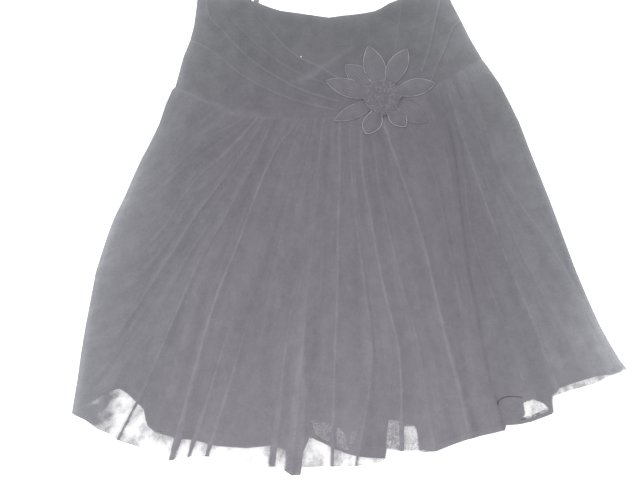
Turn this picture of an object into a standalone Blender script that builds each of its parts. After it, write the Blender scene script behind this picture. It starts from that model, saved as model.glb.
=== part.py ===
"""Knee-length skirt, laid flat with its front up.

The skirt is drawn on a polar chart. Every point is an angle from the centre line of
the skirt, in degrees and positive toward the wearer's left (the right of a person who
looks down at it), and a radius from the point where its two sides would meet, in mm.
Folds, seams and hems are short tables on that chart. Heights are in mm above the table
top. Each cut piece is one closed body, made by triangulating its outline and fold lines
and giving every point a height.
"""

import math
from collections import namedtuple

import bpy
import numpy as np
from mathutils import Vector
from mathutils.geometry import delaunay_2d_cdt

MM = 0.001
SEAM_GAP = 0.3

# Sheet sizes in mm
SHEER_WALL = 1.4
BACK_WALL = 1.0
LINING_WALL = 1.0
YOKE_WALL = 1.5
BACK_YOKE_WALL = 1.2
PETAL_WALL = 1.0
RIBBON_WALL = 1.0

# Heights in mm of the undersides, from the table upward
BACK_LINING_Z = BACK_WALL + SEAM_GAP
FRONT_LINING_Z = BACK_LINING_Z + LINING_WALL + SEAM_GAP
FRONT_Z = FRONT_LINING_Z + LINING_WALL + 2 * SEAM_GAP
SIDE_Z = BACK_YOKE_WALL + SEAM_GAP
HEM_Z = BACK_WALL + 2 * SEAM_GAP
RIBBON_Z = BACK_YOKE_WALL + SEAM_GAP
WAIST_Z = RIBBON_Z + RIBBON_WALL + SEAM_GAP

# Distances in mm over which the front falls to the table, and its rest past the lining's hem
SIDE_FALL = 9.0
HEM_FALL = 16.0
HEM_REST = 5.0

# Distances in mm of the lining from the side seams
LINING_INSET = 12.0


def table(columns, rows):
    """The rows as one number array per named column."""
    return dict(zip(columns.split(), np.array(rows, dtype=float).T))


LEFT_YOKE_SIDE = table("radius angle", [
    (443, -22.30), (465, -21.70), (484, -21.30), (505, -21.18), (528, -21.40), (555, -21.28),
    (571, -20.85)])
RIGHT_YOKE_SIDE = table("radius angle", [
    (445, 21.24), (476, 21.08), (505, 21.24), (529, 21.31), (561, 21.62)])
LEFT_SIDE = table("radius angle", [
    (571, -20.95), (575, -21.50), (595, -21.72), (625, -21.75), (654, -22.10), (675, -22.43),
    (703, -22.68), (732, -22.85), (759, -23.12), (780, -23.20), (811, -23.16), (840, -23.10),
    (872, -22.77), (921, -22.33), (954, -22.00), (983, -21.69), (1030, -21.30)])
RIGHT_SIDE = table("radius angle", [
    (561, 21.60), (571, 21.84), (601, 22.30), (631, 22.38), (661, 22.36), (699, 22.06),
    (735, 21.86), (771, 21.68), (821, 21.37), (871, 21.09), (919, 20.99), (951, 20.98),
    (979, 21.10), (1005, 21.25), (1021, 21.47)])

WAIST = table("angle radius", [
    (-22.30, 443.0), (-19.30, 438.6), (-16.50, 435.0), (-13.90, 433.3), (-11.50, 435.8),
    (-9.40, 440.1), (-7.70, 443.0), (-4.90, 445.0), (-2.00, 448.4), (0.70, 452.6), (2.90, 451.8),
    (6.20, 452.8), (8.60, 453.0), (9.80, 450.9), (11.20, 447.4), (12.90, 446.2), (17.00, 445.0),
    (21.24, 444.8)])
YOKE_SEAM = table("angle radius", [
    (-20.90, 571.0), (-18.20, 573.3), (-16.15, 579.0), (-14.40, 583.6), (-12.60, 586.2),
    (-10.70, 587.5), (-8.70, 587.0), (-6.70, 586.8), (-4.10, 586.3), (-1.80, 586.4), (0.50, 586.0),
    (4.00, 584.5), (8.00, 580.0), (11.50, 573.5), (14.20, 569.0), (16.80, 568.6), (18.20, 563.4),
    (19.80, 560.8), (21.60, 561.2)])

# Lower edge of the sheer front, with a jog wherever a fold lifts it
FRONT_HEM = table("angle radius", [
    (-21.30, 1030), (-20.20, 1033), (-19.20, 1040), (-18.30, 1042), (-17.50, 1047), (-16.10, 1050),
    (-15.20, 1054), (-14.70, 1058), (-13.60, 1061), (-13.15, 1058), (-12.80, 1047), (-12.50, 1057),
    (-12.15, 1052), (-11.80, 1049), (-11.10, 1048), (-10.40, 1048), (-9.10, 1053), (-8.00, 1056),
    (-6.30, 1055), (-5.35, 1054), (-5.20, 1058), (-4.60, 1065), (-3.95, 1065), (-3.85, 1054),
    (-1.60, 1054), (0.40, 1055), (1.85, 1053), (2.32, 1049), (2.45, 1036), (3.30, 1040),
    (4.60, 1045), (6.00, 1048), (7.00, 1044), (8.50, 1040), (9.60, 1040), (11.30, 1040),
    (11.45, 1034), (12.50, 1038), (13.40, 1040), (14.30, 1039), (15.15, 1038), (15.45, 1016),
    (16.90, 1016), (17.60, 1018), (18.90, 1020), (20.10, 1018), (21.47, 1021)])

# Lower edge of the sheer back, which ends higher than the front
BACK_HEM = table("angle radius", [
    (-21.05, 1027), (-20.20, 1010), (-19.30, 990), (-18.40, 979), (-17.50, 984), (-16.60, 993),
    (-16.00, 1000), (-15.60, 1019), (-14.90, 1026), (-13.30, 1029), (-11.90, 1028), (-10.30, 1032),
    (-8.00, 1031), (-6.20, 1026), (-5.20, 1030), (-4.20, 1038), (-3.60, 1022), (-2.50, 1023),
    (-1.50, 1031), (-0.50, 1037), (0.45, 1041), (1.30, 1045), (2.20, 1046), (2.45, 1032),
    (3.30, 1036), (4.60, 1041), (6.00, 1044), (7.00, 1040), (8.50, 1036), (11.20, 1036),
    (11.50, 1031), (12.50, 1035), (13.40, 1037), (14.30, 1036), (14.95, 1034), (15.30, 1012),
    (17.00, 1008), (18.90, 1011), (21.30, 1016)])

# Lower edge of the lining, front and back cut alike, the front a little shorter
LINING_HEM = table("angle radius", [
    (-18.90, 981), (-18.30, 976), (-17.50, 981), (-16.60, 990), (-16.10, 997), (-15.70, 1014),
    (-14.90, 1022), (-13.30, 1025), (-11.90, 1025), (-10.30, 1028), (-8.00, 1027), (-6.20, 1022),
    (-5.20, 1026), (-4.30, 1030), (-3.70, 1012), (-3.40, 990), (-1.45, 996), (-0.40, 1005),
    (0.50, 1009), (0.75, 1024), (1.80, 1034), (2.20, 1034), (2.50, 1024), (2.80, 996),
    (3.60, 1000), (4.80, 1010), (5.15, 1036), (6.00, 1040), (7.00, 1036), (8.50, 1032),
    (11.20, 1032), (11.50, 1026), (12.30, 1022), (12.70, 999), (14.60, 1001), (15.00, 1006),
    (15.60, 1004), (17.00, 1003), (18.90, 1006), (20.60, 1011)])

Fold = namedtuple("Fold", "name rise left_width right_width path")

# Folds of the sheer front. Rise in mm at the start, middle and end of the fold, half
# width in mm on its left and right at start and end, and its line of angle and radius.
SKIRT_FOLDS = [
    Fold("side_sweep_1", (0.8, 3.0, 1.6), (4, 9), (4, 11), [
        (-11.3, 592), (-12.5, 601), (-15.5, 626), (-17.4, 654), (-19.2, 691), (-20.7, 713), (-22.3, 739)]),
    Fold("side_sweep_2", (0.8, 3.2, 1.6), (4, 9), (4, 11), [
        (-9.6, 592), (-11.6, 618), (-13.4, 646), (-16.0, 682), (-17.9, 752), (-19.6, 800), (-22.6, 848)]),
    Fold("side_sweep_3", (0.8, 3.4, 1.6), (3, 10), (3, 12), [
        (-8.5, 592), (-10.5, 627), (-12.9, 679), (-14.9, 725), (-16.3, 775), (-17.5, 820), (-18.4, 860),
        (-19.4, 905), (-21.4, 948)]),
    Fold("left_flare_4", (0.8, 4.0, 5.0), (3, 9), (3, 12), [
        (-7.5, 592), (-9.6, 650), (-11.0, 690), (-12.2, 733), (-13.9, 786), (-14.8, 845), (-15.8, 921),
        (-16.5, 977), (-17.4, 1046)]),
    Fold("left_flare_5", (1.2, 5.5, 5.5), (5, 9), (5, 12), [
        (-3.9, 591), (-5.2, 602), (-6.9, 625), (-8.2, 658), (-9.3, 707), (-10.4, 763), (-11.5, 817),
        (-12.3, 880), (-12.6, 935), (-12.9, 976), (-13.3, 1059)]),
    Fold("left_flare_5_low", (0.0, 2.6, 4.0), (6, 6), (6, 8), [
        (-9.6, 830), (-10.6, 900), (-11.3, 970), (-12.2, 1054)]),
    Fold("left_billow", (0.0, 2.4, 1.2), (14, 14), (14, 14), [
        (-13.0, 840), (-13.9, 900), (-14.3, 960), (-14.9, 1020)]),
    Fold("left_flare_6", (0.0, 2.2, 3.2), (8, 8), (8, 8), [
        (-7.6, 800), (-8.9, 880), (-9.9, 960), (-10.9, 1047)]),
    Fold("middle_billow", (0.0, 2.4, 1.8), (14, 16), (14, 16), [
        (-5.6, 720), (-6.4, 800), (-7.0, 880), (-7.4, 980)]),
    Fold("middle_low_7", (0.0, 2.0, 3.0), (7, 8), (7, 8), [
        (-4.8, 830), (-5.4, 920), (-5.8, 1000), (-6.0, 1054)]),
    Fold("middle_flare_7", (1.0, 4.0, 5.0), (6, 10), (5, 12), [
        (-0.9, 592), (-1.3, 603), (-1.6, 623), (-2.1, 676), (-2.8, 763), (-3.4, 830), (-4.1, 964),
        (-4.5, 1063)]),
    Fold("middle_flare_8", (0.8, 4.2, 4.0), (4, 8), (4, 7), [
        (0.9, 598), (0.7, 644), (0.0, 724), (-0.6, 831), (-1.2, 938), (-1.6, 1053)]),
    Fold("middle_flare_9", (0.8, 3.6, 2.6), (3, 9), (4, 9), [
        (2.2, 605), (1.8, 673), (1.9, 733), (2.0, 780), (2.1, 841), (2.2, 896), (1.8, 962), (1.2, 1052)]),
    Fold("centre_flare_10", (0.8, 5.0, 5.0), (3, 8), (4, 8), [
        (3.6, 604), (3.1, 660), (3.4, 718), (3.6, 783), (3.9, 844), (4.4, 886), (4.3, 933), (3.9, 986),
        (3.4, 1039)]),
    Fold("centre_flare_11", (0.8, 3.6, 2.6), (3, 9), (3, 10), [
        (5.2, 612), (4.8, 683), (5.1, 740), (5.3, 779), (5.4, 820), (5.9, 867), (6.1, 922), (6.0, 975),
        (5.9, 1045)]),
    Fold("centre_flare_12", (0.8, 5.5, 5.5), (4, 10), (4, 13), [
        (6.6, 614), (7.4, 668), (8.0, 722), (8.4, 780), (8.4, 848), (8.5, 925), (8.7, 967), (8.7, 1039)]),
    Fold("right_short_13", (0.8, 3.2, 0.0), (5, 9), (5, 9), [
        (9.3, 612), (10.7, 645), (11.2, 690), (10.9, 745), (10.6, 820)]),
    Fold("right_short_14", (0.6, 2.2, 0.0), (3, 6), (3, 6), [
        (12.7, 596), (13.2, 622), (13.3, 655), (13.1, 700)]),
    Fold("right_flare_15", (0.8, 4.4, 3.6), (4, 11), (4, 8), [
        (14.6, 590), (14.4, 630), (13.8, 682), (12.7, 746), (11.9, 820), (11.5, 902), (11.2, 963),
        (11.3, 1034)]),
    Fold("right_inner_15", (0.0, 2.6, 0.6), (7, 9), (7, 9), [
        (13.0, 764), (13.2, 823), (13.5, 870), (13.7, 940), (13.6, 990)]),
    Fold("right_flare_16", (0.8, 4.4, 3.6), (4, 8), (4, 11), [
        (15.9, 592), (15.5, 633), (15.5, 694), (15.5, 754), (15.6, 829), (15.9, 895), (15.9, 1015)]),
    Fold("right_side_17", (0.8, 3.4, 1.6), (6, 9), (5, 8), [
        (18.4, 582), (18.5, 636), (18.2, 671), (18.1, 712), (18.8, 765), (19.8, 815), (20.3, 870)]),
    Fold("right_low_18", (0.0, 2.4, 2.8), (9, 11), (9, 11), [
        (17.0, 820), (17.7, 890), (18.2, 950), (18.5, 1018)]),
    Fold("hem_flap", (2.0, 3.0, 2.0), (4, 4), (9, 9), [
        (10.95, 1003), (11.6, 999), (12.3, 999), (13.2, 1004)]),
]

# Pin tucks of the yoke, each a sewn ridge, and one soft crease between them
YOKE_TUCKS = [
    Fold("tuck_1", (1.4, 1.5, 1.2), (3, 3), (3, 3), [
        (-21.1, 505), (-18.5, 508), (-16.2, 516), (-12.8, 534), (-9.5, 547), (-5.5, 561), (-2.8, 568),
        (0.8, 578)]),
    Fold("tuck_2", (1.4, 1.5, 1.2), (3, 3), (3, 3), [
        (-20.7, 443), (-19.7, 466), (-16.8, 480), (-14.8, 493), (-11.7, 512), (-9.8, 522), (-5.6, 542),
        (-2.8, 553), (1.4, 567)]),
    Fold("tuck_3", (1.4, 1.5, 0.8), (3, 3), (3, 3), [
        (-19.3, 441), (-18.2, 450), (-15.9, 462), (-12.2, 484), (-9.1, 502), (-6.4, 517), (-3.4, 531),
        (0.5, 544)]),
    Fold("tuck_4", (1.4, 1.5, 0.8), (3, 3), (3, 3), [
        (-13.6, 436), (-11.4, 452), (-8.8, 473), (-6.2, 494), (-4.0, 507), (-1.2, 518), (1.6, 537)]),
    Fold("soft_crease", (0.0, 1.3, 0.0), (5, 5), (7, 7), [
        (-5.9, 540), (-2.4, 530), (0.3, 513), (2.7, 501), (4.6, 494)]),
    Fold("tuck_5", (1.0, 1.0, 0.8), (3, 3), (3, 3), [
        (13.5, 449), (12.5, 467), (10.6, 504), (9.6, 526)]),
    Fold("tuck_6", (1.4, 1.5, 1.0), (3, 3), (3, 3), [
        (20.3, 447), (19.5, 466), (17.2, 493), (15.1, 523), (13.1, 548)]),
    Fold("tuck_7", (1.4, 1.5, 1.0), (3, 3), (3, 3), [
        (21.1, 502), (19.5, 507), (17.2, 530), (15.0, 551), (13.9, 564)]),
]

# The flower: its middle on the chart, then each petal's direction in degrees from the
# flower's own right, length, half width, place of its widest point, bend of its tip and
# level. Level 0 lies on the cloth and level 1 on its neighbours.
FLOWER_ANGLE = 7.0
FLOWER_RADIUS = 569.0
FLOWER_PRESS = 34.0
FLOWER_RELEASE = 62.0
DISC_RADIUS = 19.5
ROOT_RADIUS = 9.0
Petal = namedtuple("Petal", "name direction length half_width widest bend level")
PETALS = [
    Petal("petal_1", 99.0, 71.5, 14.5, 0.52, 3.0, 1),
    Petal("petal_2", 62.0, 73.0, 13.0, 0.58, -4.0, 0),
    Petal("petal_3", 16.0, 73.0, 11.5, 0.58, -6.0, 1),
    Petal("petal_4", -29.0, 68.0, 12.0, 0.56, -4.0, 0),
    Petal("petal_5", -59.0, 50.0, 10.5, 0.60, 4.0, 1),
    Petal("petal_6", -112.0, 53.0, 12.5, 0.62, -5.0, 1),
    Petal("petal_7", -156.0, 71.0, 9.5, 0.52, -3.0, 0),
    Petal("petal_8", 161.0, 79.0, 12.0, 0.52, -2.0, 1),
    Petal("petal_9", 132.0, 66.0, 13.5, 0.54, 3.0, 0),
]
PETAL_RIM = 0.5
PETAL_STEP = PETAL_WALL + PETAL_RIM + SEAM_GAP

# The hanging loop inside the waist: place on the chart, reach above the waist, mm
LOOP_ANGLE = -12.7
LOOP_WIDTH = 17.0
LOOP_RIBBON = 7.0
LOOP_ABOVE = 26.0
LOOP_BELOW = 14.0


def chart(angle, radius):
    """Flat x and y in mm of points given by angle and radius."""
    turn = np.radians(np.asarray(angle, dtype=float))
    reach = np.asarray(radius, dtype=float)
    return np.stack([reach * np.sin(turn), -reach * np.cos(turn)], axis=-1)


def chart_of(points):
    """Angle and radius of flat points."""
    x, y = points[..., 0], points[..., 1]
    return np.degrees(np.arctan2(x, -y)), np.hypot(x, y)


def smoothstep(value):
    value = np.clip(value, 0.0, 1.0)
    return value * value * (3.0 - 2.0 * value)


def along(line, step):
    """A line's points, spaced evenly at about the given step."""
    line = np.asarray(line, dtype=float)
    lengths = np.hypot(*np.diff(line, axis=0).T)
    reach = np.concatenate([[0.0], np.cumsum(lengths)])
    count = max(2, int(round(reach[-1] / step)) + 1)
    stops = np.linspace(0.0, reach[-1], count)
    return np.stack([np.interp(stops, reach, line[:, axis]) for axis in (0, 1)], axis=-1)


def side_line(side, low, high, inset=0.0, step=16.0):
    """Points of a side edge between two radii, moved in toward the centre line."""
    radius = np.linspace(low, high, max(2, int(round(abs(high - low) / step)) + 1))
    angle = np.interp(radius, side["radius"], side["angle"])
    angle = angle - np.sign(angle) * np.degrees(inset / radius)
    return chart(angle, radius)


def edge_line(edge, low, high, shift=0.0, step=14.0):
    """Points of a seam or hem between two angles, moved away from the apex by a shift."""
    own = edge["angle"][(edge["angle"] > low) & (edge["angle"] < high)]
    stops = np.concatenate([[low], own, [high]])
    angles = [stops[0]]
    for start, stop in zip(stops[:-1], stops[1:]):
        reach = math.radians(stop - start) * float(np.interp(start, edge["angle"], edge["radius"]))
        pieces = max(1, int(round(reach / step)))
        angles.extend(np.linspace(start, stop, pieces + 1)[1:])
    angles = np.array(angles)
    return chart(angles, np.interp(angles, edge["angle"], edge["radius"]) + shift)


def closed_outline(*lines):
    """One outline from lines that follow each other around the piece."""
    points = [lines[0][0]]
    for line in lines:
        for point in line:
            if np.hypot(*(point - points[-1])) > 0.8:
                points.append(point)
    if np.hypot(*(points[0] - points[-1])) < 0.8:
        points.pop()
    return np.array(points)


def inside(points, outline):
    """True for each point within the outline."""
    x, y = points[:, 0], points[:, 1]
    result = np.zeros(len(points), dtype=bool)
    for start, stop in zip(outline, np.roll(outline, -1, axis=0)):
        crosses = (start[1] > y) != (stop[1] > y)
        rise = stop[1] - start[1]
        meet = start[0] + (y - start[1]) * (stop[0] - start[0]) / (rise if rise else 1e-12)
        result ^= crosses & (x < meet)
    return result


def beside(points, line):
    """Each point's distance from a line, which side it is on, and how far along it is."""
    line = np.asarray(line, dtype=float)
    steps = np.diff(line, axis=0)
    lengths = np.hypot(*steps.T)
    starts = np.concatenate([[0.0], np.cumsum(lengths)[:-1]])
    best = np.full(len(points), 1e9)
    side = np.zeros(len(points))
    place = np.zeros(len(points))
    for start, step, length, reach in zip(line[:-1], steps, lengths, starts):
        offset = points - start
        share = np.clip((offset @ step) / length ** 2, 0.0, 1.0)
        away = offset - share[:, None] * step
        distance = np.hypot(*away.T)
        closer = distance < best
        best[closer] = distance[closer]
        side[closer] = np.sign(step[0] * offset[:, 1] - step[1] * offset[:, 0])[closer]
        place[closer] = ((reach + share * length) / lengths.sum())[closer]
    return best, side, place


def clear_of(points, outline, guard, reach):
    """True for each point inside an outline and at least a reach from it."""
    near = np.array([np.hypot(*(guard - point).T).min() for point in points])
    return inside(points, outline) & (near > reach)


def fold_shape(fold, folds, step=8.0):
    """Stations along a fold with its left and right half widths there.

    A flank ends halfway to the next crest, so that neighbours meet in one valley.
    """
    line = along(chart(*np.array(fold.path).T), step)
    share = np.linspace(0.0, 1.0, len(line))
    others = [along(chart(*np.array(other.path).T), 3.0) for other in folds if other is not fold]
    others = np.vstack(others)
    heading = np.gradient(line, axis=0)
    heading = heading / np.hypot(*heading.T)[:, None]
    widths = []
    for sign, given in ((-1.0, fold.left_width), (1.0, fold.right_width)):
        wanted = np.interp(share, (0.0, 1.0), given)
        for index, (point, ahead) in enumerate(zip(line, heading)):
            offset = others - point
            forward = offset @ ahead
            aside = sign * (ahead[0] * offset[:, 1] - ahead[1] * offset[:, 0])
            beside_it = aside[(np.abs(forward) < step) & (aside > 0.0)]
            if len(beside_it):
                wanted[index] = min(wanted[index], max(1.6, 0.5 * beside_it.min()))
        widths.append(wanted)
    return line, share, heading, widths[0], widths[1]


def fold_rise(points, shapes):
    """Height that the folds add at each point. Each has a crest and two hollow flanks."""
    total = np.zeros(len(points))
    for rises, (line, share, heading, left, right) in shapes:
        distance, side, place = beside(points, line)
        width = np.where(side < 0, np.interp(place, share, left), np.interp(place, share, right))
        rise = np.interp(place, (0.0, 0.5, 1.0), rises)
        total += (rise * np.clip(1.0 - distance / width, 0.0, 1.0) ** 1.35) ** 3
    return np.cbrt(total)


def spread(edge, angles, reach):
    """The largest radius of an edge within a reach in degrees, then smoothed."""
    near = np.linspace(-reach, reach, 13)
    lookup = np.interp(angles[:, None] + near, edge["angle"], edge["radius"])
    return lookup.max(axis=1)


SKIRT_SHAPES = [(fold.rise, fold_shape(fold, SKIRT_FOLDS)) for fold in SKIRT_FOLDS]
TUCK_SHAPES = [(fold.rise, fold_shape(fold, YOKE_TUCKS)) for fold in YOKE_TUCKS]
SUPPORT_ANGLES = np.linspace(-24.0, 24.0, 241)
SUPPORT_RADIUS = np.convolve(
    np.pad(spread(LINING_HEM, SUPPORT_ANGLES, 1.0), 3, mode="edge"), np.ones(7) / 7, mode="valid")


def side_distance(angle, radius, left, right):
    """Distance in mm from the nearer side edge."""
    from_left = angle - np.interp(radius, left["radius"], left["angle"])
    from_right = np.interp(radius, right["radius"], right["angle"]) - angle
    return np.radians(np.minimum(from_left, from_right)) * radius


def pressed(points):
    """From 0 under the flower to 1 well away from it."""
    away = np.hypot(*(points - chart(FLOWER_ANGLE, FLOWER_RADIUS)).T)
    return smoothstep((away - FLOWER_PRESS) / FLOWER_RELEASE)


def skirt_underside(points):
    """Underside of the sheer front."""
    angle, radius = chart_of(points)
    from_side = side_distance(angle, radius, LEFT_SIDE, RIGHT_SIDE)
    over_edge = radius - np.interp(angle, SUPPORT_ANGLES, SUPPORT_RADIUS)
    flat = FRONT_Z - (FRONT_Z - HEM_Z) * smoothstep((over_edge - HEM_REST) / HEM_FALL)
    billow = 0.9 * smoothstep((radius - 640.0) / 260.0)
    billow = billow * (1.0 + np.sin(angle * 2.35 + 0.8) * np.cos(angle * 0.83 - radius / 130.0))
    folds = fold_rise(points, SKIRT_SHAPES) * (0.25 + 0.75 * pressed(points))
    at_side = smoothstep(from_side / SIDE_FALL)
    return HEM_Z + (flat - HEM_Z + billow + folds) * at_side


def yoke_underside(points):
    """Underside of the front yoke, from the waist down to the seam."""
    angle, radius = chart_of(points)
    from_side = side_distance(angle, radius, LEFT_YOKE_SIDE, RIGHT_YOKE_SIDE)
    waist = np.interp(angle, WAIST["angle"], WAIST["radius"])
    seam = np.interp(angle, YOKE_SEAM["angle"], YOKE_SEAM["radius"])
    share = smoothstep((radius - waist) / (seam - waist))
    flat = WAIST_Z + (FRONT_Z - WAIST_Z) * share
    tucks = fold_rise(points, TUCK_SHAPES) * (0.3 + 0.7 * pressed(points))
    at_side = smoothstep(from_side / SIDE_FALL)
    return SIDE_Z + (flat - SIDE_Z + tucks) * at_side


def front_top(points):
    """Top of the cloth that the flower lies on, on either side of the seam."""
    angle, radius = chart_of(points)
    seam = np.interp(angle, YOKE_SEAM["angle"], YOKE_SEAM["radius"])
    on_yoke = yoke_underside(points) + YOKE_WALL
    on_skirt = skirt_underside(points) + SHEER_WALL
    return np.where(radius < seam, on_yoke, on_skirt)


def triangulated(outline, crests, points):
    """Flat triangles that fill an outline and keep its crest lines as edges."""
    vertices = [Vector(point) for point in outline]
    edges = []
    for crest in crests:
        first = len(vertices)
        vertices.extend(Vector(point) for point in crest)
        edges.extend((index, index + 1) for index in range(first, len(vertices) - 1))
    vertices.extend(Vector(point) for point in points)
    result = delaunay_2d_cdt(vertices, edges, [list(range(len(outline)))], 1, 0.0001)
    flat = np.array([tuple(vertex) for vertex in result[0]])
    triangles = np.array(result[2])
    corners = flat[triangles]
    one, two = corners[:, 1] - corners[:, 0], corners[:, 2] - corners[:, 0]
    turn = one[:, 0] * two[:, 1] - one[:, 1] * two[:, 0]
    triangles[turn < 0] = triangles[turn < 0][:, ::-1]
    return flat, triangles


def add_object(name, vertices, faces):
    mesh = bpy.data.meshes.new(name)
    mesh.from_pydata([tuple(vertex) for vertex in np.asarray(vertices) * MM], [], faces)
    mesh.update()
    piece = bpy.data.objects.new(name, mesh)
    bpy.context.scene.collection.objects.link(piece)
    return piece


def cloth(name, outline, underside, wall, folds=(), spacing=22.0, crest_step=16.0,
          flank_gap=2.4, rim=0.0, rows=()):
    """One cut piece as a closed body with its folds as ridges."""
    crests = []
    flanks = []
    guard = along(np.vstack([outline, outline[:1]]), 2.0)
    for rises, (line, share, heading, left, right) in folds:
        stride = max(1, int(round(crest_step / np.hypot(*(line[1] - line[0])))))
        line, heading, left, right = (values[::stride] for values in (line, heading, left, right))
        across = np.stack([-heading[:, 1], heading[:, 0]], axis=-1)
        usable = clear_of(line, outline, guard, 3.0)
        crests.append(line[usable])
        for sign, width in ((-1.0, left), (1.0, right)):
            flanks.append((line + sign * across * width[:, None])[usable])
    for row in rows:
        usable = clear_of(row, outline, guard, 3.0)
        breaks = np.flatnonzero(np.diff(usable.astype(int))) + 1
        for part, flag in zip(np.split(row, breaks), np.split(usable, breaks)):
            if flag[0]:
                crests.append(part)
    crests = [crest for crest in crests if len(crest) > 1]
    low, high = outline.min(axis=0), outline.max(axis=0)
    across = np.arange(low[0] + spacing / 2, high[0], spacing)
    down = np.arange(low[1] + spacing / 2, high[1], spacing * 0.87)
    grid = np.array([(x + (row % 2) * spacing / 2, y) for row, y in enumerate(down) for x in across])
    fixed = np.vstack([outline] + crests)
    groups = [(np.vstack(flanks), flank_gap)] if flanks else []
    groups.append((grid, spacing * 0.6))
    kept = np.empty((0, 2))
    for points, gap in groups:
        points = points[clear_of(points, outline, guard, min(gap, 4.5))]
        for point in points:
            if np.hypot(*(fixed - point).T).min() > gap * 0.8:
                if len(kept) == 0 or np.hypot(*(kept - point).T).min() > gap:
                    kept = np.vstack([kept, point])
    flat, triangles = triangulated(outline, crests, kept)
    bottom = underside(flat)
    edges = {}
    for triangle in triangles:
        for start, stop in zip(triangle, np.roll(triangle, -1)):
            edges[(int(start), int(stop))] = True
    rims = [edge for edge in edges if (edge[1], edge[0]) not in edges]
    on_rim = np.zeros(len(flat))
    on_rim[[edge[0] for edge in rims]] = 1.0
    top = bottom + wall + rim * on_rim
    count = len(flat)
    vertices = np.vstack([np.column_stack([flat, bottom]), np.column_stack([flat, top])])
    faces = [tuple(int(corner) for corner in triangle[::-1]) for triangle in triangles]
    faces += [tuple(int(corner) + count for corner in triangle) for triangle in triangles]
    faces += [(start, stop, stop + count, start + count) for start, stop in rims]
    return add_object(name, vertices, faces)


def inset_rows(side, low, high):
    """Lines a little inside a side edge, where the front falls to the table."""
    return [side_line(side, low, high, inset, 20.0) for inset in (SIDE_FALL * 0.55, SIDE_FALL)]


def hem_rows():
    """Lines just outside the lining's hem, where the sheer front starts to fall and ends."""
    angles = np.linspace(-20.6, 21.0, 48)
    radius = np.interp(angles, SUPPORT_ANGLES, SUPPORT_RADIUS)
    return [chart(angles, radius + HEM_REST), chart(angles, radius + HEM_REST + HEM_FALL)]


def skirt_outline(hem, seam_shift, side_inset=0.0):
    """Outline of a lower piece: left side down, hem, right side up, then the seam."""
    left_top = np.interp(-20.9, YOKE_SEAM["angle"], YOKE_SEAM["radius"]) + seam_shift
    right_top = np.interp(21.6, YOKE_SEAM["angle"], YOKE_SEAM["radius"]) + seam_shift
    left = side_line(LEFT_SIDE, left_top, hem["radius"][0], side_inset)
    right = side_line(RIGHT_SIDE, right_top, hem["radius"][-1], side_inset)
    low = chart_of(left[-1])[0] + 0.1
    high = chart_of(right[-1])[0] - 0.1
    bottom = edge_line(hem, low, high)
    top = edge_line(YOKE_SEAM, chart_of(left[0])[0] + 0.15, chart_of(right[0])[0] - 0.15, seam_shift)
    return closed_outline(left, bottom, right[::-1], top[::-1])


def yoke_outline(shift):
    left = side_line(LEFT_YOKE_SIDE, 443.0, 570.9 - shift)
    right = side_line(RIGHT_YOKE_SIDE, 444.8, 561.0 - shift)
    top = edge_line(WAIST, -22.3, 21.2)
    seam = edge_line(YOKE_SEAM, chart_of(left[-1])[0] + 0.1, 21.45, -shift)
    return closed_outline(left, seam, right[::-1], top[::-1])


def hem_moved(hem, shift):
    return {"angle": hem["angle"], "radius": hem["radius"] + shift}


def petal_outline(petal, steps=11):
    """Outline of one petal from its root around the pointed tip."""
    share = np.linspace(0.0, 1.0, steps)
    swell = share ** (math.log(0.5) / math.log(petal.widest))
    width = petal.half_width * np.sin(np.pi * swell) ** 0.82
    root = 3.6 * (1.0 - smoothstep(share / 0.35))
    width = np.maximum(width, root)
    reach = ROOT_RADIUS + share * (petal.length - ROOT_RADIUS)
    shift = petal.bend * share ** 2
    one = np.stack([reach, shift + width], axis=-1)
    two = np.stack([reach, shift - width], axis=-1)
    shape = np.vstack([two, one[-2::-1]])
    turn = math.radians(petal.direction)
    spin = np.array([[math.cos(turn), math.sin(turn)], [-math.sin(turn), math.cos(turn)]])
    return shape @ spin + chart(FLOWER_ANGLE, FLOWER_RADIUS)


def flower_support(points):
    """A smooth height just over the cloth, where stiff petals rest on its folds."""
    near = [(7.0 * math.cos(turn), 7.0 * math.sin(turn)) for turn in np.linspace(0, 2 * np.pi, 13)[:-1]]
    near += [(3.5 * math.cos(turn), 3.5 * math.sin(turn)) for turn in np.linspace(0, 2 * np.pi, 9)[:-1]]
    near += [(0.0, 0.0)]
    heights = np.array([front_top(points + np.array(offset)) for offset in near])
    return heights.max(axis=0) + SEAM_GAP


def petal_underside(petal):
    middle = chart(FLOWER_ANGLE, FLOWER_RADIUS)

    def underside(points):
        away = np.hypot(*(points - middle).T)
        lift = petal.level * PETAL_STEP * (1.0 - 0.6 * smoothstep((away - 52.0) / 22.0))
        return flower_support(points) + lift

    return underside


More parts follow.
